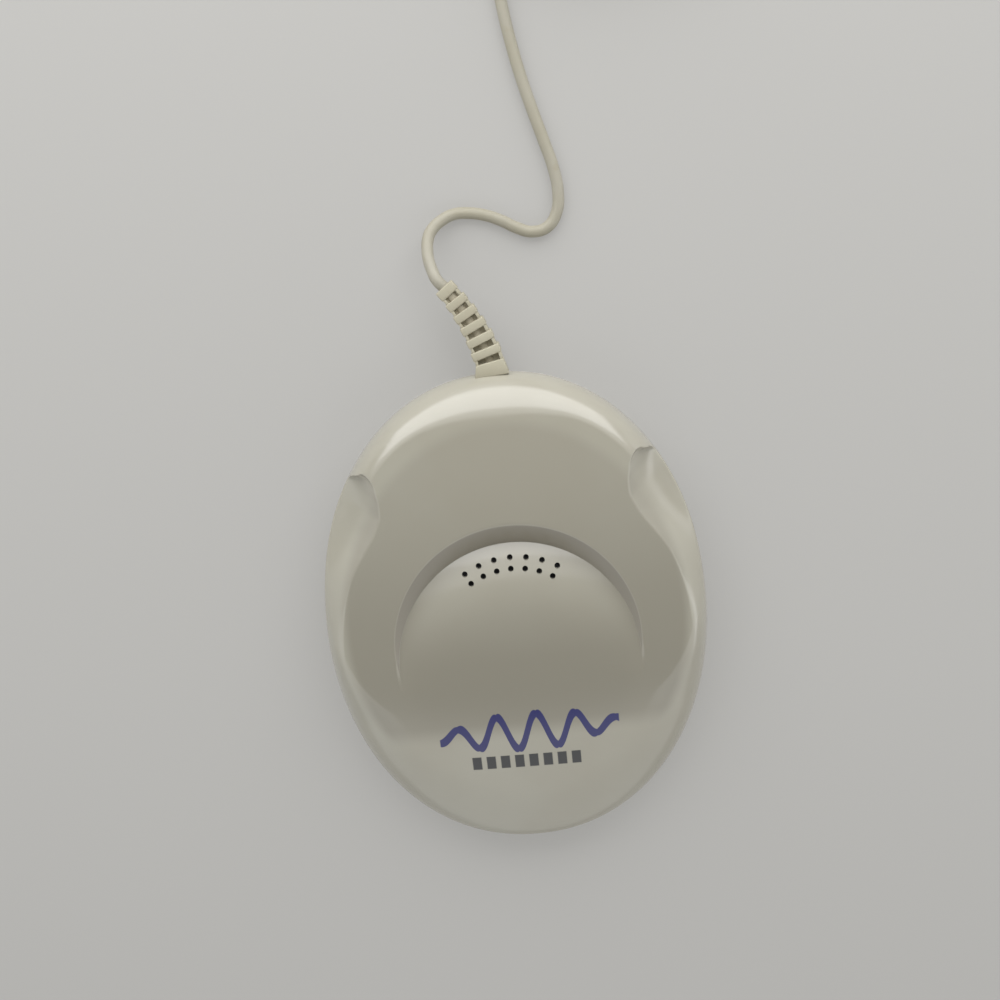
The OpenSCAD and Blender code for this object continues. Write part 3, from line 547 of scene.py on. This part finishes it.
for node, material in {
    "front_shell": case_plain, "rear_shell": case_plain, "cord_grip": case_plain,
    "case_screws": zinc, "clamp_screws": zinc, "grip_screws": zinc, "driver_clamps": zinc,
    "driver_plate": zinc, "driver_yoke": zinc, "driver_frame": pressed, "driver_magnet": ferrite,
    "driver_gasket": foam, "magnet_pad": foam, "dust_cloth": dust_cloth, "driver_cone": cone_paper,
    "dust_cap": cone_paper, "driver_spider": spider_cloth, "voice_coil": copper,
    "terminal_board": tag_board, "terminal_tags": brass, "lead_red": wire_red, "lead_black": wire_black,
    "cord_tail": cord_vinyl, "strain_relief": boot_vinyl, "cord_run": cord_vinyl, "cord_coil": cord_vinyl,
    "cord_end": cord_vinyl, "cord_tie": tie_white, "plug_body": boot_vinyl, "plug_sleeve": nickel,
    "plug_insulator": ring_black, "plug_tip": nickel,
}.items():
    dress(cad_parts[node], material)
dress(cord, cord_vinyl)

# Form of the front moulding, in mm at station angles round the case

# Width of the rounded edge
EDGE_WIDTH = [
    (-90, 16.5), (-60, 16), (-40, 14.3), (-25, 13.4), (-17, 9.8), (-9, 6.5), (-2, 4.8),
    (5, 5.6), (13, 6.6), (19, 6.4), (24, 6), (42, 6), (56, 6.6), (82, 10), (90, 10.5),
]
# Distance in from the outline at which each scoop ends on the face
SCOOP_EDGE = [
    (-90, 0), (-2, 5.0), (6.5, 6.2), (13, 7.4), (18, 8.9), (22.4, 10.3), (28, 11.4), (32, 11.5),
    (36.6, 10.1), (39.2, 8.35), (41.4, 6.6), (42.3, 5.2), (42.9, 3.2), (43.2, 0), (44, -8), (90, -14),
]
# Distance in from the outline at which the upper end of each scoop starts
SCOOP_END = [
    (-90, -60), (30, -30), (37.5, -11), (39.9, -4), (41.1, -0.5), (41.8, 0.6), (42.3, 1.5), (42.7, 2.4),
    (43.0, 3.6), (43.4, 7), (90, 60),
]
# How much of each scoop's depth is left as it runs out along the flank
SCOOP_SHARE = [
    (-90, 0), (-14, 0), (-6, 0.16), (-1, 0.36), (4, 0.56), (9, 0.74), (14, 0.88), (19, 0.96), (24, 1),
    (90, 1),
]
SCOOP_REACH, SCOOP_DEPTH, SCOOP_POWER, SCOOP_BLEND = 11.5, 8.8, 1.8, 1.8
RIM_R, RIM_BLEND = 0.6, 0.35


def rail(table, angle):
    """Smooth value of a table at station angles, the same on both sides of the axis."""
    knots = np.array([knot for knot, value in table], float)
    values = np.array([value for knot, value in table], float)
    at = np.degrees(np.arcsin(np.clip(np.sin(angle), -1, 1)))
    steps = np.diff(knots)
    rise = np.diff(values) / steps
    slope = np.zeros(len(knots))
    for i in range(1, len(knots) - 1):
        if rise[i - 1] * rise[i] > 0:
            w1, w2 = 2 * steps[i] + steps[i - 1], steps[i] + 2 * steps[i - 1]
            slope[i] = (w1 + w2) / (w1 / rise[i - 1] + w2 / rise[i])
    i = np.clip(np.searchsorted(knots, at) - 1, 0, len(steps) - 1)
    s = (at - knots[i]) / steps[i]
    return (
        values[i] * (1 + 2 * s) * (1 - s) ** 2 + steps[i] * slope[i] * s * (1 - s) ** 2
        + values[i + 1] * s * s * (3 - 2 * s) + steps[i] * slope[i + 1] * s * s * (s - 1)
    )


def signed_power(v, p):
    return np.sign(v) * np.abs(v) ** p


def outline(angle, inset=0.0):
    """Points of the case's oval outline, or of one a distance inside it."""
    return (
        (BODY_W / 2 - inset) * signed_power(np.cos(angle), 2 / OVAL_POWER),
        (BODY_END - inset) * signed_power(np.sin(angle), 2 / OVAL_POWER),
    )


def inward(angle):
    """Direction across the case's edge, towards its middle."""
    across = signed_power(np.cos(angle), 2 - 2 / OVAL_POWER) / BODY_W
    along = signed_power(np.sin(angle), 2 - 2 / OVAL_POWER) / BODY_L
    size = np.hypot(across, along)
    return -across / size, -along / size


def in_from(angle, inset, depth):
    """Points a distance in from the outline, or from one inside it."""
    out_x, out_y = outline(angle, inset)
    in_x, in_y = inward(angle)
    return out_x + in_x * depth, out_y + in_y * depth


def round_dome(angle, radius):
    return radius * np.cos(angle), DOME_Y + radius * np.sin(angle)


def face_z(x, y):
    """Height of the crowned face, which falls away at its lower end."""
    fall = np.maximum(0, RAMP_FROM - BODY_END - y)
    return BODY_H - (x * x + y * y) / (2 * CROWN_R) - fall * fall / (2 * RAMP_R)


def lower_of(a, b, blend):
    """The lower of two heights, with a rounded meeting."""
    h = np.clip(0.5 + 0.5 * (b - a) / blend, 0, 1)
    return b * (1 - h) + a * h - blend * h * (1 - h)


def round_share(u):
    """Share of the height on a rounded edge, at a share of its width."""
    return np.sqrt(1 - (1 - np.clip(u, 0, 1)) ** 2)


def edge_height(angle, depth, x, y):
    """Height of the case's edge at a distance in from the outline."""
    top = face_z(x, y)
    plain = SPLIT_Z + (top - SPLIT_Z) * round_share(depth / rail(EDGE_WIDTH, angle))
    inside = lower_of(rail(SCOOP_EDGE, angle) - depth, depth - rail(SCOOP_END, angle), SCOOP_BLEND)
    hollow = SCOOP_DEPTH * (1 - (1 - np.clip(inside / SCOOP_REACH, 0, 1)) ** SCOOP_POWER)
    slope = SCOOP_DEPTH * SCOOP_POWER / SCOOP_REACH
    scoop = top - np.where(inside > 0, hollow, inside * slope)
    cut = lower_of(plain, scoop - RIM_R * (1 - round_share(depth / RIM_R)), RIM_BLEND)
    share = rail(SCOOP_SHARE, angle)
    return plain * (1 - share) + cut * share


def edge_reach(angle, past):
    """How far in the rings of the edge go, past its round and its scoops."""
    return np.maximum(rail(EDGE_WIDTH, angle), rail(SCOOP_EDGE, angle)) + past


def dome_height(x, y):
    """Outer face of the dome, rolled down towards the cord side."""
    up = y - DOME_Y
    r = np.hypot(x, up)
    d = np.maximum(r - DOME_FLAT, 0)
    rolled = DOME_SHOULDER - np.sqrt(DOME_SHOULDER ** 2 - d * d)
    turned = np.clip((up / np.maximum(r, 1) + DOME_ROLL_FROM) / (1 + DOME_ROLL_FROM), 0, 1)
    return face_z(x, y) - rolled * turned ** DOME_ROLL_POWER


def dome_under(x, y):
    """Inner face of the dome, which clears the cloth and the driver's seat."""
    up = y - DOME_Y
    widest = DOME_INNER_SHOULDER * DOME_INNER_SQUEEZE
    d = np.clip(np.hypot(x * DOME_INNER_SQUEEZE, up) - DOME_INNER_FLAT, 0, widest)
    rolled = DOME_INNER_SHOULDER - np.sqrt(DOME_INNER_SHOULDER ** 2 - d * d)
    inner = face_z(x, y) - rolled * smoothstep((up - DOME_INNER_FROM) / DOME_INNER_FADE) - WALL
    return np.minimum(inner, dome_height(x, y) - DOME_THINNEST)


def crescent_width(angle):
    return np.maximum(CRESCENT_LEAST, CRESCENT_TIP + (CRESCENT_W - CRESCENT_TIP) * np.sin(angle))


def crescent_height(angle, radius, x, y):
    """Height from the dome's rim out over the recess's wall to the face."""
    wide = crescent_width(angle)
    rim = dome_height(*round_dome(angle, DOME_R))
    lip = face_z(*round_dome(angle, DOME_R + wide))
    wall = rim + (radius - DOME_R) * (lip - rim) / wide
    face = face_z(x, y)
    deep = np.clip((lip - rim) / CRESCENT_DEEP, 0, 1)
    soft = lower_of(face, wall, LIP_BLEND)
    return np.where(lip - rim > CRESCENT_STEP, soft * deep + np.minimum(face, wall) * (1 - deep), face)


# Rings of the two mouldings

STATIONS, FINE_STATIONS = 560, 3600
CLOSER_AT, CLOSER_WIDTH, CLOSER_BY = 41.5, 3.2, 2.2
EDGE_PAST, CRESCENT_PAST = 0.6, 1.6
# Shares of the edge's reach at its rings, closest at the rim
EDGE_STEPS = [0.0, 0.004, 0.012, 0.025, 0.045, 0.07] + list(np.linspace(0.1, 1.0, 30))
FACE_RINGS, CRESCENT_RINGS = 10, 16
DOME_RINGS = [
    30.35, 30.1, 29.7, 29.2, 28.6, 27.9, 27.1, 26.2, 25.2, 24.2, 23.2, 22.2, 21, 19.5, 17.5, 15, 12, 9, 6,
    3, 1,
]
UNDER_STEPS, UNDER_PAST = (0.05, 0.2, 0.5, 0.8, 1.0), 0.2
# Radius, and how much thinner than the wall the moulding is there
UNDER_FACE_RINGS = ((DOME_R + 1.5, 0.5),)
UNDER_DOME_RINGS = ((DOME_R - 0.5, 0.2), (24.0, 0.0), (12.0, 0.0))
REAR_INNER_STEPS = (1, 0.7, 0.42, 0.2)
REAR_STEPS = (0.0, 0.012, 0.03, 0.06, 0.1, 0.15, 0.21, 0.28, 0.36, 0.45, 0.55, 0.66, 0.78, 0.9, 1.0)


def stations(count):
    """Station angles round the case, closer together where the scoops end."""
    even = np.linspace(0, 2 * np.pi, FINE_STATIONS, endpoint=False)
    folded = np.degrees(np.arcsin(np.sin(even)))
    weight = 1 + CLOSER_BY * np.exp(-((folded - CLOSER_AT) / CLOSER_WIDTH) ** 2)
    total = np.concatenate([[0], np.cumsum(weight)])
    return np.interp(np.arange(count) / count * total[-1], total, np.append(even, 2 * np.pi))


def flat_ring(angle, inset, z):
    x, y = outline(angle, inset)
    return x, y, np.full_like(x, z)


def front_rings(angle):
    """Rings of the front moulding's outer face, from the parting line up and in to the dome's middle."""
    rings = []
    reach = edge_reach(angle, EDGE_PAST)
    for u in EDGE_STEPS:
        x, y = in_from(angle, 0.0, u * reach)
        rings.append((x, y, edge_height(angle, u * reach, x, y)))
    edge_x, edge_y = in_from(angle, 0.0, reach)
    out_r = DOME_R + crescent_width(angle) + CRESCENT_PAST
    lip_x, lip_y = round_dome(angle, out_r)
    for s in np.linspace(0, 1, FACE_RINGS + 1)[1:]:
        x, y = edge_x * (1 - s) + lip_x * s, edge_y * (1 - s) + lip_y * s
        radius = np.maximum(np.hypot(x, y - DOME_Y), DOME_R)
        rings.append((x, y, crescent_height(np.arctan2(y - DOME_Y, x), radius, x, y)))
    for s in np.linspace(0, 1, CRESCENT_RINGS + 1)[1:]:
        radius = out_r * (1 - s) + DOME_R * s
        x, y = round_dome(angle, radius)
        rings.append((x, y, crescent_height(angle, radius, x, y)))
    for radius in DOME_RINGS:
        x, y = round_dome(angle, radius)
        rings.append((x, y, dome_height(x, y)))
    return rings


def front_under_rings(angle):
    """Rings of the front moulding's seam, its lap over the rear one, and its inner face."""
    rings = [
        flat_ring(angle, FRONT_SEAM_IN, SPLIT_Z + SEAM_GAP),
        flat_ring(angle, WALL / 2, SPLIT_Z + SEAM_GAP),
        flat_ring(angle, WALL / 2, SPLIT_Z - LAP_DEPTH),
        flat_ring(angle, WALL, SPLIT_Z - LAP_DEPTH),
    ]
    reach = edge_reach(angle, UNDER_PAST)
    for u in UNDER_STEPS:
        x, y = in_from(angle, WALL, u * reach)
        rings.append((x, y, np.maximum(SPLIT_Z, edge_height(angle, u * reach, x, y) - WALL)))
    for radius, lower in UNDER_FACE_RINGS:
        x, y = round_dome(angle, radius + crescent_width(angle))
        rings.append((x, y, face_z(x, y) - WALL - lower))
    for radius, lower in UNDER_DOME_RINGS:
        x, y = round_dome(angle, radius)
        rings.append((x, y, dome_under(x, y) - lower))
    return rings


def rear_rings(angle):
    """Rings of the rear moulding, from its inner floor over the seam to its rounded back."""
    rings = []
    for u in REAR_INNER_STEPS:
        z = SPLIT_Z - (SPLIT_Z - WALL) * float(round_share(u))
        rings.append(flat_ring(angle, WALL + u * REAR_INNER_ROUND, z))
    lap_in, lap_z = WALL / 2 - LAP_GAP, SPLIT_Z - LAP_DEPTH - LAP_GAP
    rings += [flat_ring(angle, WALL, lap_z), flat_ring(angle, lap_in, lap_z)]
    rings += [flat_ring(angle, lap_in, SPLIT_Z), flat_ring(angle, REAR_SEAM, SPLIT_Z)]
    for u in REAR_STEPS:
        z = min(SPLIT_Z - REAR_SEAM, SPLIT_Z * (1 - float(round_share(u))))
        rings.append(flat_ring(angle, u * REAR_ROUND, z))
    return rings


def moulding(name, first, rings, last, material, node):
    """A closed body through rings of points, with a middle point at each end."""
    count = len(rings[0][0])
    points = [first]
    for x, y, z in rings:
        points += list(zip(x.tolist(), y.tolist(), z.tolist()))
    points.append(last)
    end = len(points) - 1
    after = [(i + 1) % count for i in range(count)]
    faces = [(0, 1 + i, 1 + after[i]) for i in range(count)]
    for k in range(len(rings) - 1):
        a = 1 + k * count
        b = a + count
        faces += [(a + i, b + i, b + after[i], a + after[i]) for i in range(count)]
    faces += [(end, end - count + after[i], end - count + i) for i in range(count)]
    mesh = bpy.data.meshes.new(name)
    mesh.from_pydata([tuple(c * MM for c in point) for point in points], [], faces)
    mesh.update()
    piece = placed(name, mesh)
    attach(piece, "root")
    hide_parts(node)
    dress(piece, material)
    return piece


# Workshop steps on a mesh

SLIVER = 0.009
SMOOTH_CASE, SMOOTH_BOOT = 38, 40


def pick(*things):
    """Selects only these objects, with the first one active."""
    bpy.ops.object.select_all(action="DESELECT")
    for thing in things:
        thing.select_set(True)
    bpy.context.view_layer.objects.active = things[0]


def rod(at, along, radius, length, sides):
    """A round rod from a point, in mm, along a direction."""
    along = Vector(along)
    bpy.ops.mesh.primitive_cylinder_add(
        vertices=sides, radius=radius * MM, depth=length * MM,
        location=(Vector(at) + along * length / 2) * MM,
        rotation=Vector((0, 0, 1)).rotation_difference(along).to_euler(),
    )
    return bpy.context.active_object


def cut_out(piece, cutters):
    """Takes the cutters away from a piece, and merges the slivers along the cuts."""
    pick(*cutters)
    bpy.ops.object.join()
    cutter = bpy.context.active_object
    pick(piece)
    cut = piece.modifiers.new("cut", "BOOLEAN")
    cut.object = cutter
    cut.operation = "DIFFERENCE"
    cut.solver = "EXACT"
    bpy.ops.object.modifier_apply(modifier=cut.name)
    bpy.data.objects.remove(cutter)
    bpy.ops.object.mode_set(mode="EDIT")
    bpy.ops.mesh.select_all(action="SELECT")
    bpy.ops.mesh.remove_doubles(threshold=SLIVER * MM)
    bpy.ops.mesh.dissolve_degenerate(threshold=SLIVER * MM)
    bpy.ops.mesh.quads_convert_to_tris(quad_method="BEAUTY", ngon_method="BEAUTY")
    bpy.ops.mesh.dissolve_degenerate(threshold=SLIVER * MM)
    bpy.ops.object.mode_set(mode="OBJECT")


def soften(piece, degrees):
    pick(piece)
    bpy.ops.object.shade_smooth_by_angle(angle=math.radians(degrees))


# Front and rear moulding

def cord_opening():
    """Cutter of the round opening for the strain relief's neck."""
    at = (0, BODY_END + OPENING_AHEAD, CORD_Z)
    return rod(at, (0, -1, 0), BOOT_NECK_R + OPENING_GAP, OPENING_LONG, ROUND_SIDES)


def sound_holes():
    """Cutters of the two arcs of holes in the dome."""
    cutters = []
    for row in range(HOLE_ROWS):
        for k in range(HOLE_COUNT):
            a = math.radians(90 + (k - (HOLE_COUNT - 1) / 2) * HOLE_PITCH)
            r = HOLE_ROW_R - row * HOLE_ROW_GAP
            at = (r * math.cos(a), DOME_Y + HOLE_SHIFT + r * math.sin(a), HOLE_FROM_Z)
            cutters.append(rod(at, (0, 0, 1), HOLE_D / 2, HOLE_LONG, HOLE_SIDES))
    return cutters


def screw_recesses():
    """Cutters of the four round recesses in the back."""
    length = SCREW_RECESS_DEPTH + SCREW_RECESS_BELOW
    return [
        rod((side * x, y, -SCREW_RECESS_BELOW), (0, 0, 1), SCREW_RECESS_R, length, ROUND_SIDES)
        for side in (-1, 1) for x, y in POST_PLACES
    ]


def front_case(angle):
    outer = front_rings(angle)
    seam_x, seam_y, seam_z = outer[0]
    seam = (seam_x, seam_y, np.maximum(seam_z, SPLIT_Z + FRONT_SEAM_UP))
    rings = outer[:0:-1] + [seam] + front_under_rings(angle)
    top = float(dome_height(0.0, DOME_Y))
    first, last = (0.0, DOME_Y, top), (0.0, DOME_Y, top - WALL)
    piece = moulding("front_case", first, rings, last, case_printed, "front_shell")
    cut_out(piece, [cord_opening()] + sound_holes())
    soften(piece, SMOOTH_CASE)


def rear_case(angle):
    rings = rear_rings(angle)
    piece = moulding("rear_case", (0.0, 0.0, WALL), rings, (0.0, 0.0, 0.0), case_plain, "rear_shell")
    cut_out(piece, [cord_opening()] + screw_recesses())
    soften(piece, SMOOTH_CASE)


angle = stations(STATIONS)
front_case(angle)
rear_case(angle)

# Strain relief, of a foot, ribs, webs and soles at the windows, a core, and a collar inside the case

FOOT_WIDER, FOOT_BEHIND, FOOT_EASE = 0.6, 0.7, 0.35
FOOT_BEVEL, RIB_BEVEL, WEB_BEVEL = 0.25, 0.3, 0.15
TAPER_FROM = 3
WINDOW_LAP = 0.3
WEB_W, WEB_IN, WEB_SHARE = 0.7, 0.6, 0.93
SOLE_IN, SOLE_H = 1, 2.2
CORE_EXTRA, CORE_FROM, CORE_KNOTS = 0.15, 0.5, 14
COLLAR_EXTRA, COLLAR_L, COLLAR_BACK, NECK_L = 0.9, 1.6, 3.7, 4.2


def block(s0, s1, wide, high, side=0.0):
    """A block across the bend between two distances."""
    at, turn = on_bend((s0 + s1) / 2, side)
    bpy.ops.mesh.primitive_cube_add(size=1, location=at * MM, rotation=(0, 0, turn))
    piece = bpy.context.active_object
    piece.scale = (wide * MM, (s1 - s0) * MM, high * MM)
    bpy.ops.object.transform_apply(location=True, rotation=True, scale=True)
    return piece


def bevelled(piece, width, segments=3):
    pick(piece)
    edge = piece.modifiers.new("edge", "BEVEL")
    edge.width = width * MM
    edge.segments = segments
    edge.limit_method = "ANGLE"
    bpy.ops.object.modifier_apply(modifier=edge.name)
    dress(piece, boot_vinyl)
    return piece


def boot_width(s):
    """Width of the tapering strain relief."""
    return BOOT_W + (BOOT_TIP_W - BOOT_W) * (s - TAPER_FROM) / (BOOT_L - TAPER_FROM)


def boot_foot():
    """Foot at the case, whose far end slants with the bend."""
    end = BOOT_FIRST - WINDOW_W / 2
    foot = block(WALL - FOOT_BEHIND, end, BOOT_W + FOOT_WIDER, BOOT_W * BOOT_FLAT)
    for corner in foot.data.vertices:
        if corner.co.y > BODY_END * MM:
            at, turn = on_bend(end, math.copysign(boot_width(end) / 2 - FOOT_EASE, corner.co.x))
            corner.co.x = at.x * MM
            corner.co.y = at.y * MM
    return bevelled(foot, FOOT_BEVEL)


def boot_segment(k):
    """A window with its two webs and its sole, and the rib after it."""
    pitch = (BOOT_LAST - BOOT_FIRST) / (BOOT_WINDOWS - 1)
    middle = BOOT_FIRST + k * pitch
    start, end = middle - WINDOW_W / 2, middle + WINDOW_W / 2
    rib_end = BOOT_L if k == BOOT_WINDOWS - 1 else start + pitch
    wide = boot_width(middle + pitch / 2)
    high = wide * BOOT_FLAT
    parts = [bevelled(block(end, rib_end, wide, high), RIB_BEVEL)]
    for side in (-1, 1):
        aside = side * (wide / 2 - WEB_IN)
        web = block(start - WINDOW_LAP, end + WINDOW_LAP, WEB_W, high * WEB_SHARE, aside)
        parts.append(bevelled(web, WEB_BEVEL, segments=2))
    sole = block(start - WINDOW_LAP, end + WINDOW_LAP, wide - SOLE_IN, SOLE_H)
    # The sole takes the darker vinyl, painted shade in the window
    dress(sole, painted_shade_vinyl)
    return parts + [sole]


def boot_core():
    """The cord's own round through the strain relief."""
    points = [on_bend(float(s))[0] for s in np.linspace(CORE_FROM, BOOT_L, CORE_KNOTS)]
    pick(round_curve("boot_core", points, CORD_D / 2 + CORE_EXTRA, sides=6))
    bpy.ops.object.convert(target="MESH")
    # The core takes the darker vinyl, painted shade in the windows
    dress(bpy.context.active_object, painted_shade_vinyl)
    return bpy.context.active_object


def boot_collar():
    """Collar and neck that the case's opening holds."""
    back = BODY_END - WALL - COLLAR_BACK
    ahead = (0, 1, 0)
    collar = rod((0, back, CORD_Z), ahead, BOOT_NECK_R + COLLAR_EXTRA, COLLAR_L, ROUND_SIDES)
    neck = rod((0, back + COLLAR_L, CORD_Z), ahead, BOOT_NECK_R, NECK_L, ROUND_SIDES)
    dress(collar, boot_vinyl)
    dress(neck, boot_vinyl)
    return [collar, neck]


parts = [boot_foot()]
for k in range(BOOT_WINDOWS):
    parts += boot_segment(k)
parts += [boot_core()] + boot_collar()
pick(*parts)
bpy.ops.object.join()
boot = bpy.context.active_object
boot.name = boot.data.name = "boot"
bpy.ops.object.transform_apply(location=True, rotation=True, scale=True)
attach(boot, "root")
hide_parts("strain_relief")
soften(boot, SMOOTH_BOOT)

[c * MM for c in boot_tip]

# Floor, which shows a plain pale tone, with the shadows on it at half their depth

FLOOR_SIZE, FLOOR_SHARE = 6, 0.5

bpy.ops.mesh.primitive_plane_add(size=FLOOR_SIZE, location=(0, 0, 0))
floor = bpy.context.active_object
floor.name = "floor"
paper = Finish("floor_paper", Specular_IOR_Level=0.2)
paper.feed("Base Color", FLOOR_GREY).feed("Roughness", 0.85)
pale = paper.node("ShaderNodeEmission", {}, {"Color": FLOOR_GLOW, "Strength": 1.0})
rays = paper.node("ShaderNodeLightPath", {}, {})
seen = rays.out("Is Camera Ray").high(rays.out("Is Glossy Ray")).high(rays.out("Is Transmission Ray"))
layers = {0: seen * FLOOR_SHARE, 1: paper.shader.out("BSDF"), 2: pale.out("Emission")}
mixed = paper.node("ShaderNodeMixShader", {}, layers)
paper.put(paper.output.node.inputs["Surface"], mixed.out("Shader"))
dress(floor, paper.material)

# Light, of three panels: name, place, point it faces, size in metres and radiance

PANELS = (
    ("low_panel", (0, 0.46, 0.26), (0, 0, 0.02), (1.1, 0.5), 2.85),
    ("top_panel", (0, 0.26, 0.5), (0, 0.02, 0.02), (0.8, 0.2), 0.85),
    ("right_panel", (0.6, 0.0, 0.13), (0, 0, 0.01), (0.8, 0.16), 0.9),
)
# The light tent round them: its tones, and the bands of the direction over which one goes into the next
TENT_NEAR, TENT_FAR, TENT_HIGH, HORIZON = 0.88, 0.05, 0.05, 0.61
TENT_SIDES, TENT_ROOF, TENT_FOOT = (-0.1, 0.3), (0.812, 0.842), (0.0, 0.05)


def softbox(name, at, aim, size, radiance):
    lamp = placed(name, bpy.data.lights.new(name, "AREA"))
    lamp.data.shape = "RECTANGLE"
    lamp.data.size, lamp.data.size_y = size
    lamp.data.energy = radiance * math.pi * size[0] * size[1]
    lamp.location = at
    lamp.rotation_euler = (Vector(aim) - Vector(at)).to_track_quat("-Z", "Y").to_euler()


def tent_tone(level):
    return level, level, level * 0.98


for panel in PANELS:
    softbox(*panel)
world = bpy.data.worlds.new("light_tent")
world.use_nodes = True
tent = Nodes(world.node_tree)
x, y, z = tent.axes(tent.node("ShaderNodeTexCoord", {}, {}).out("Generated"))
tone = tent.blend(y.band(*TENT_SIDES), tent_tone(TENT_NEAR), tent_tone(TENT_FAR))
tone = tent.blend(z.band(*TENT_ROOF), tone, tent_tone(TENT_HIGH))
# The horizon is one plain pale tone, which the camera sees all round and reflections see low down
tone = tent.blend(z.band(*TENT_FOOT), tent_tone(HORIZON), tone)
camera_ray = tent.node("ShaderNodeLightPath", {}, {}).out("Is Camera Ray")
tone = tent.blend(camera_ray, tone, tent_tone(HORIZON))
tent.put(tent.tree.nodes["Background"].inputs["Color"], tone)
bpy.context.scene.world = world
bpy.context.scene.view_settings.view_transform = "Standard"
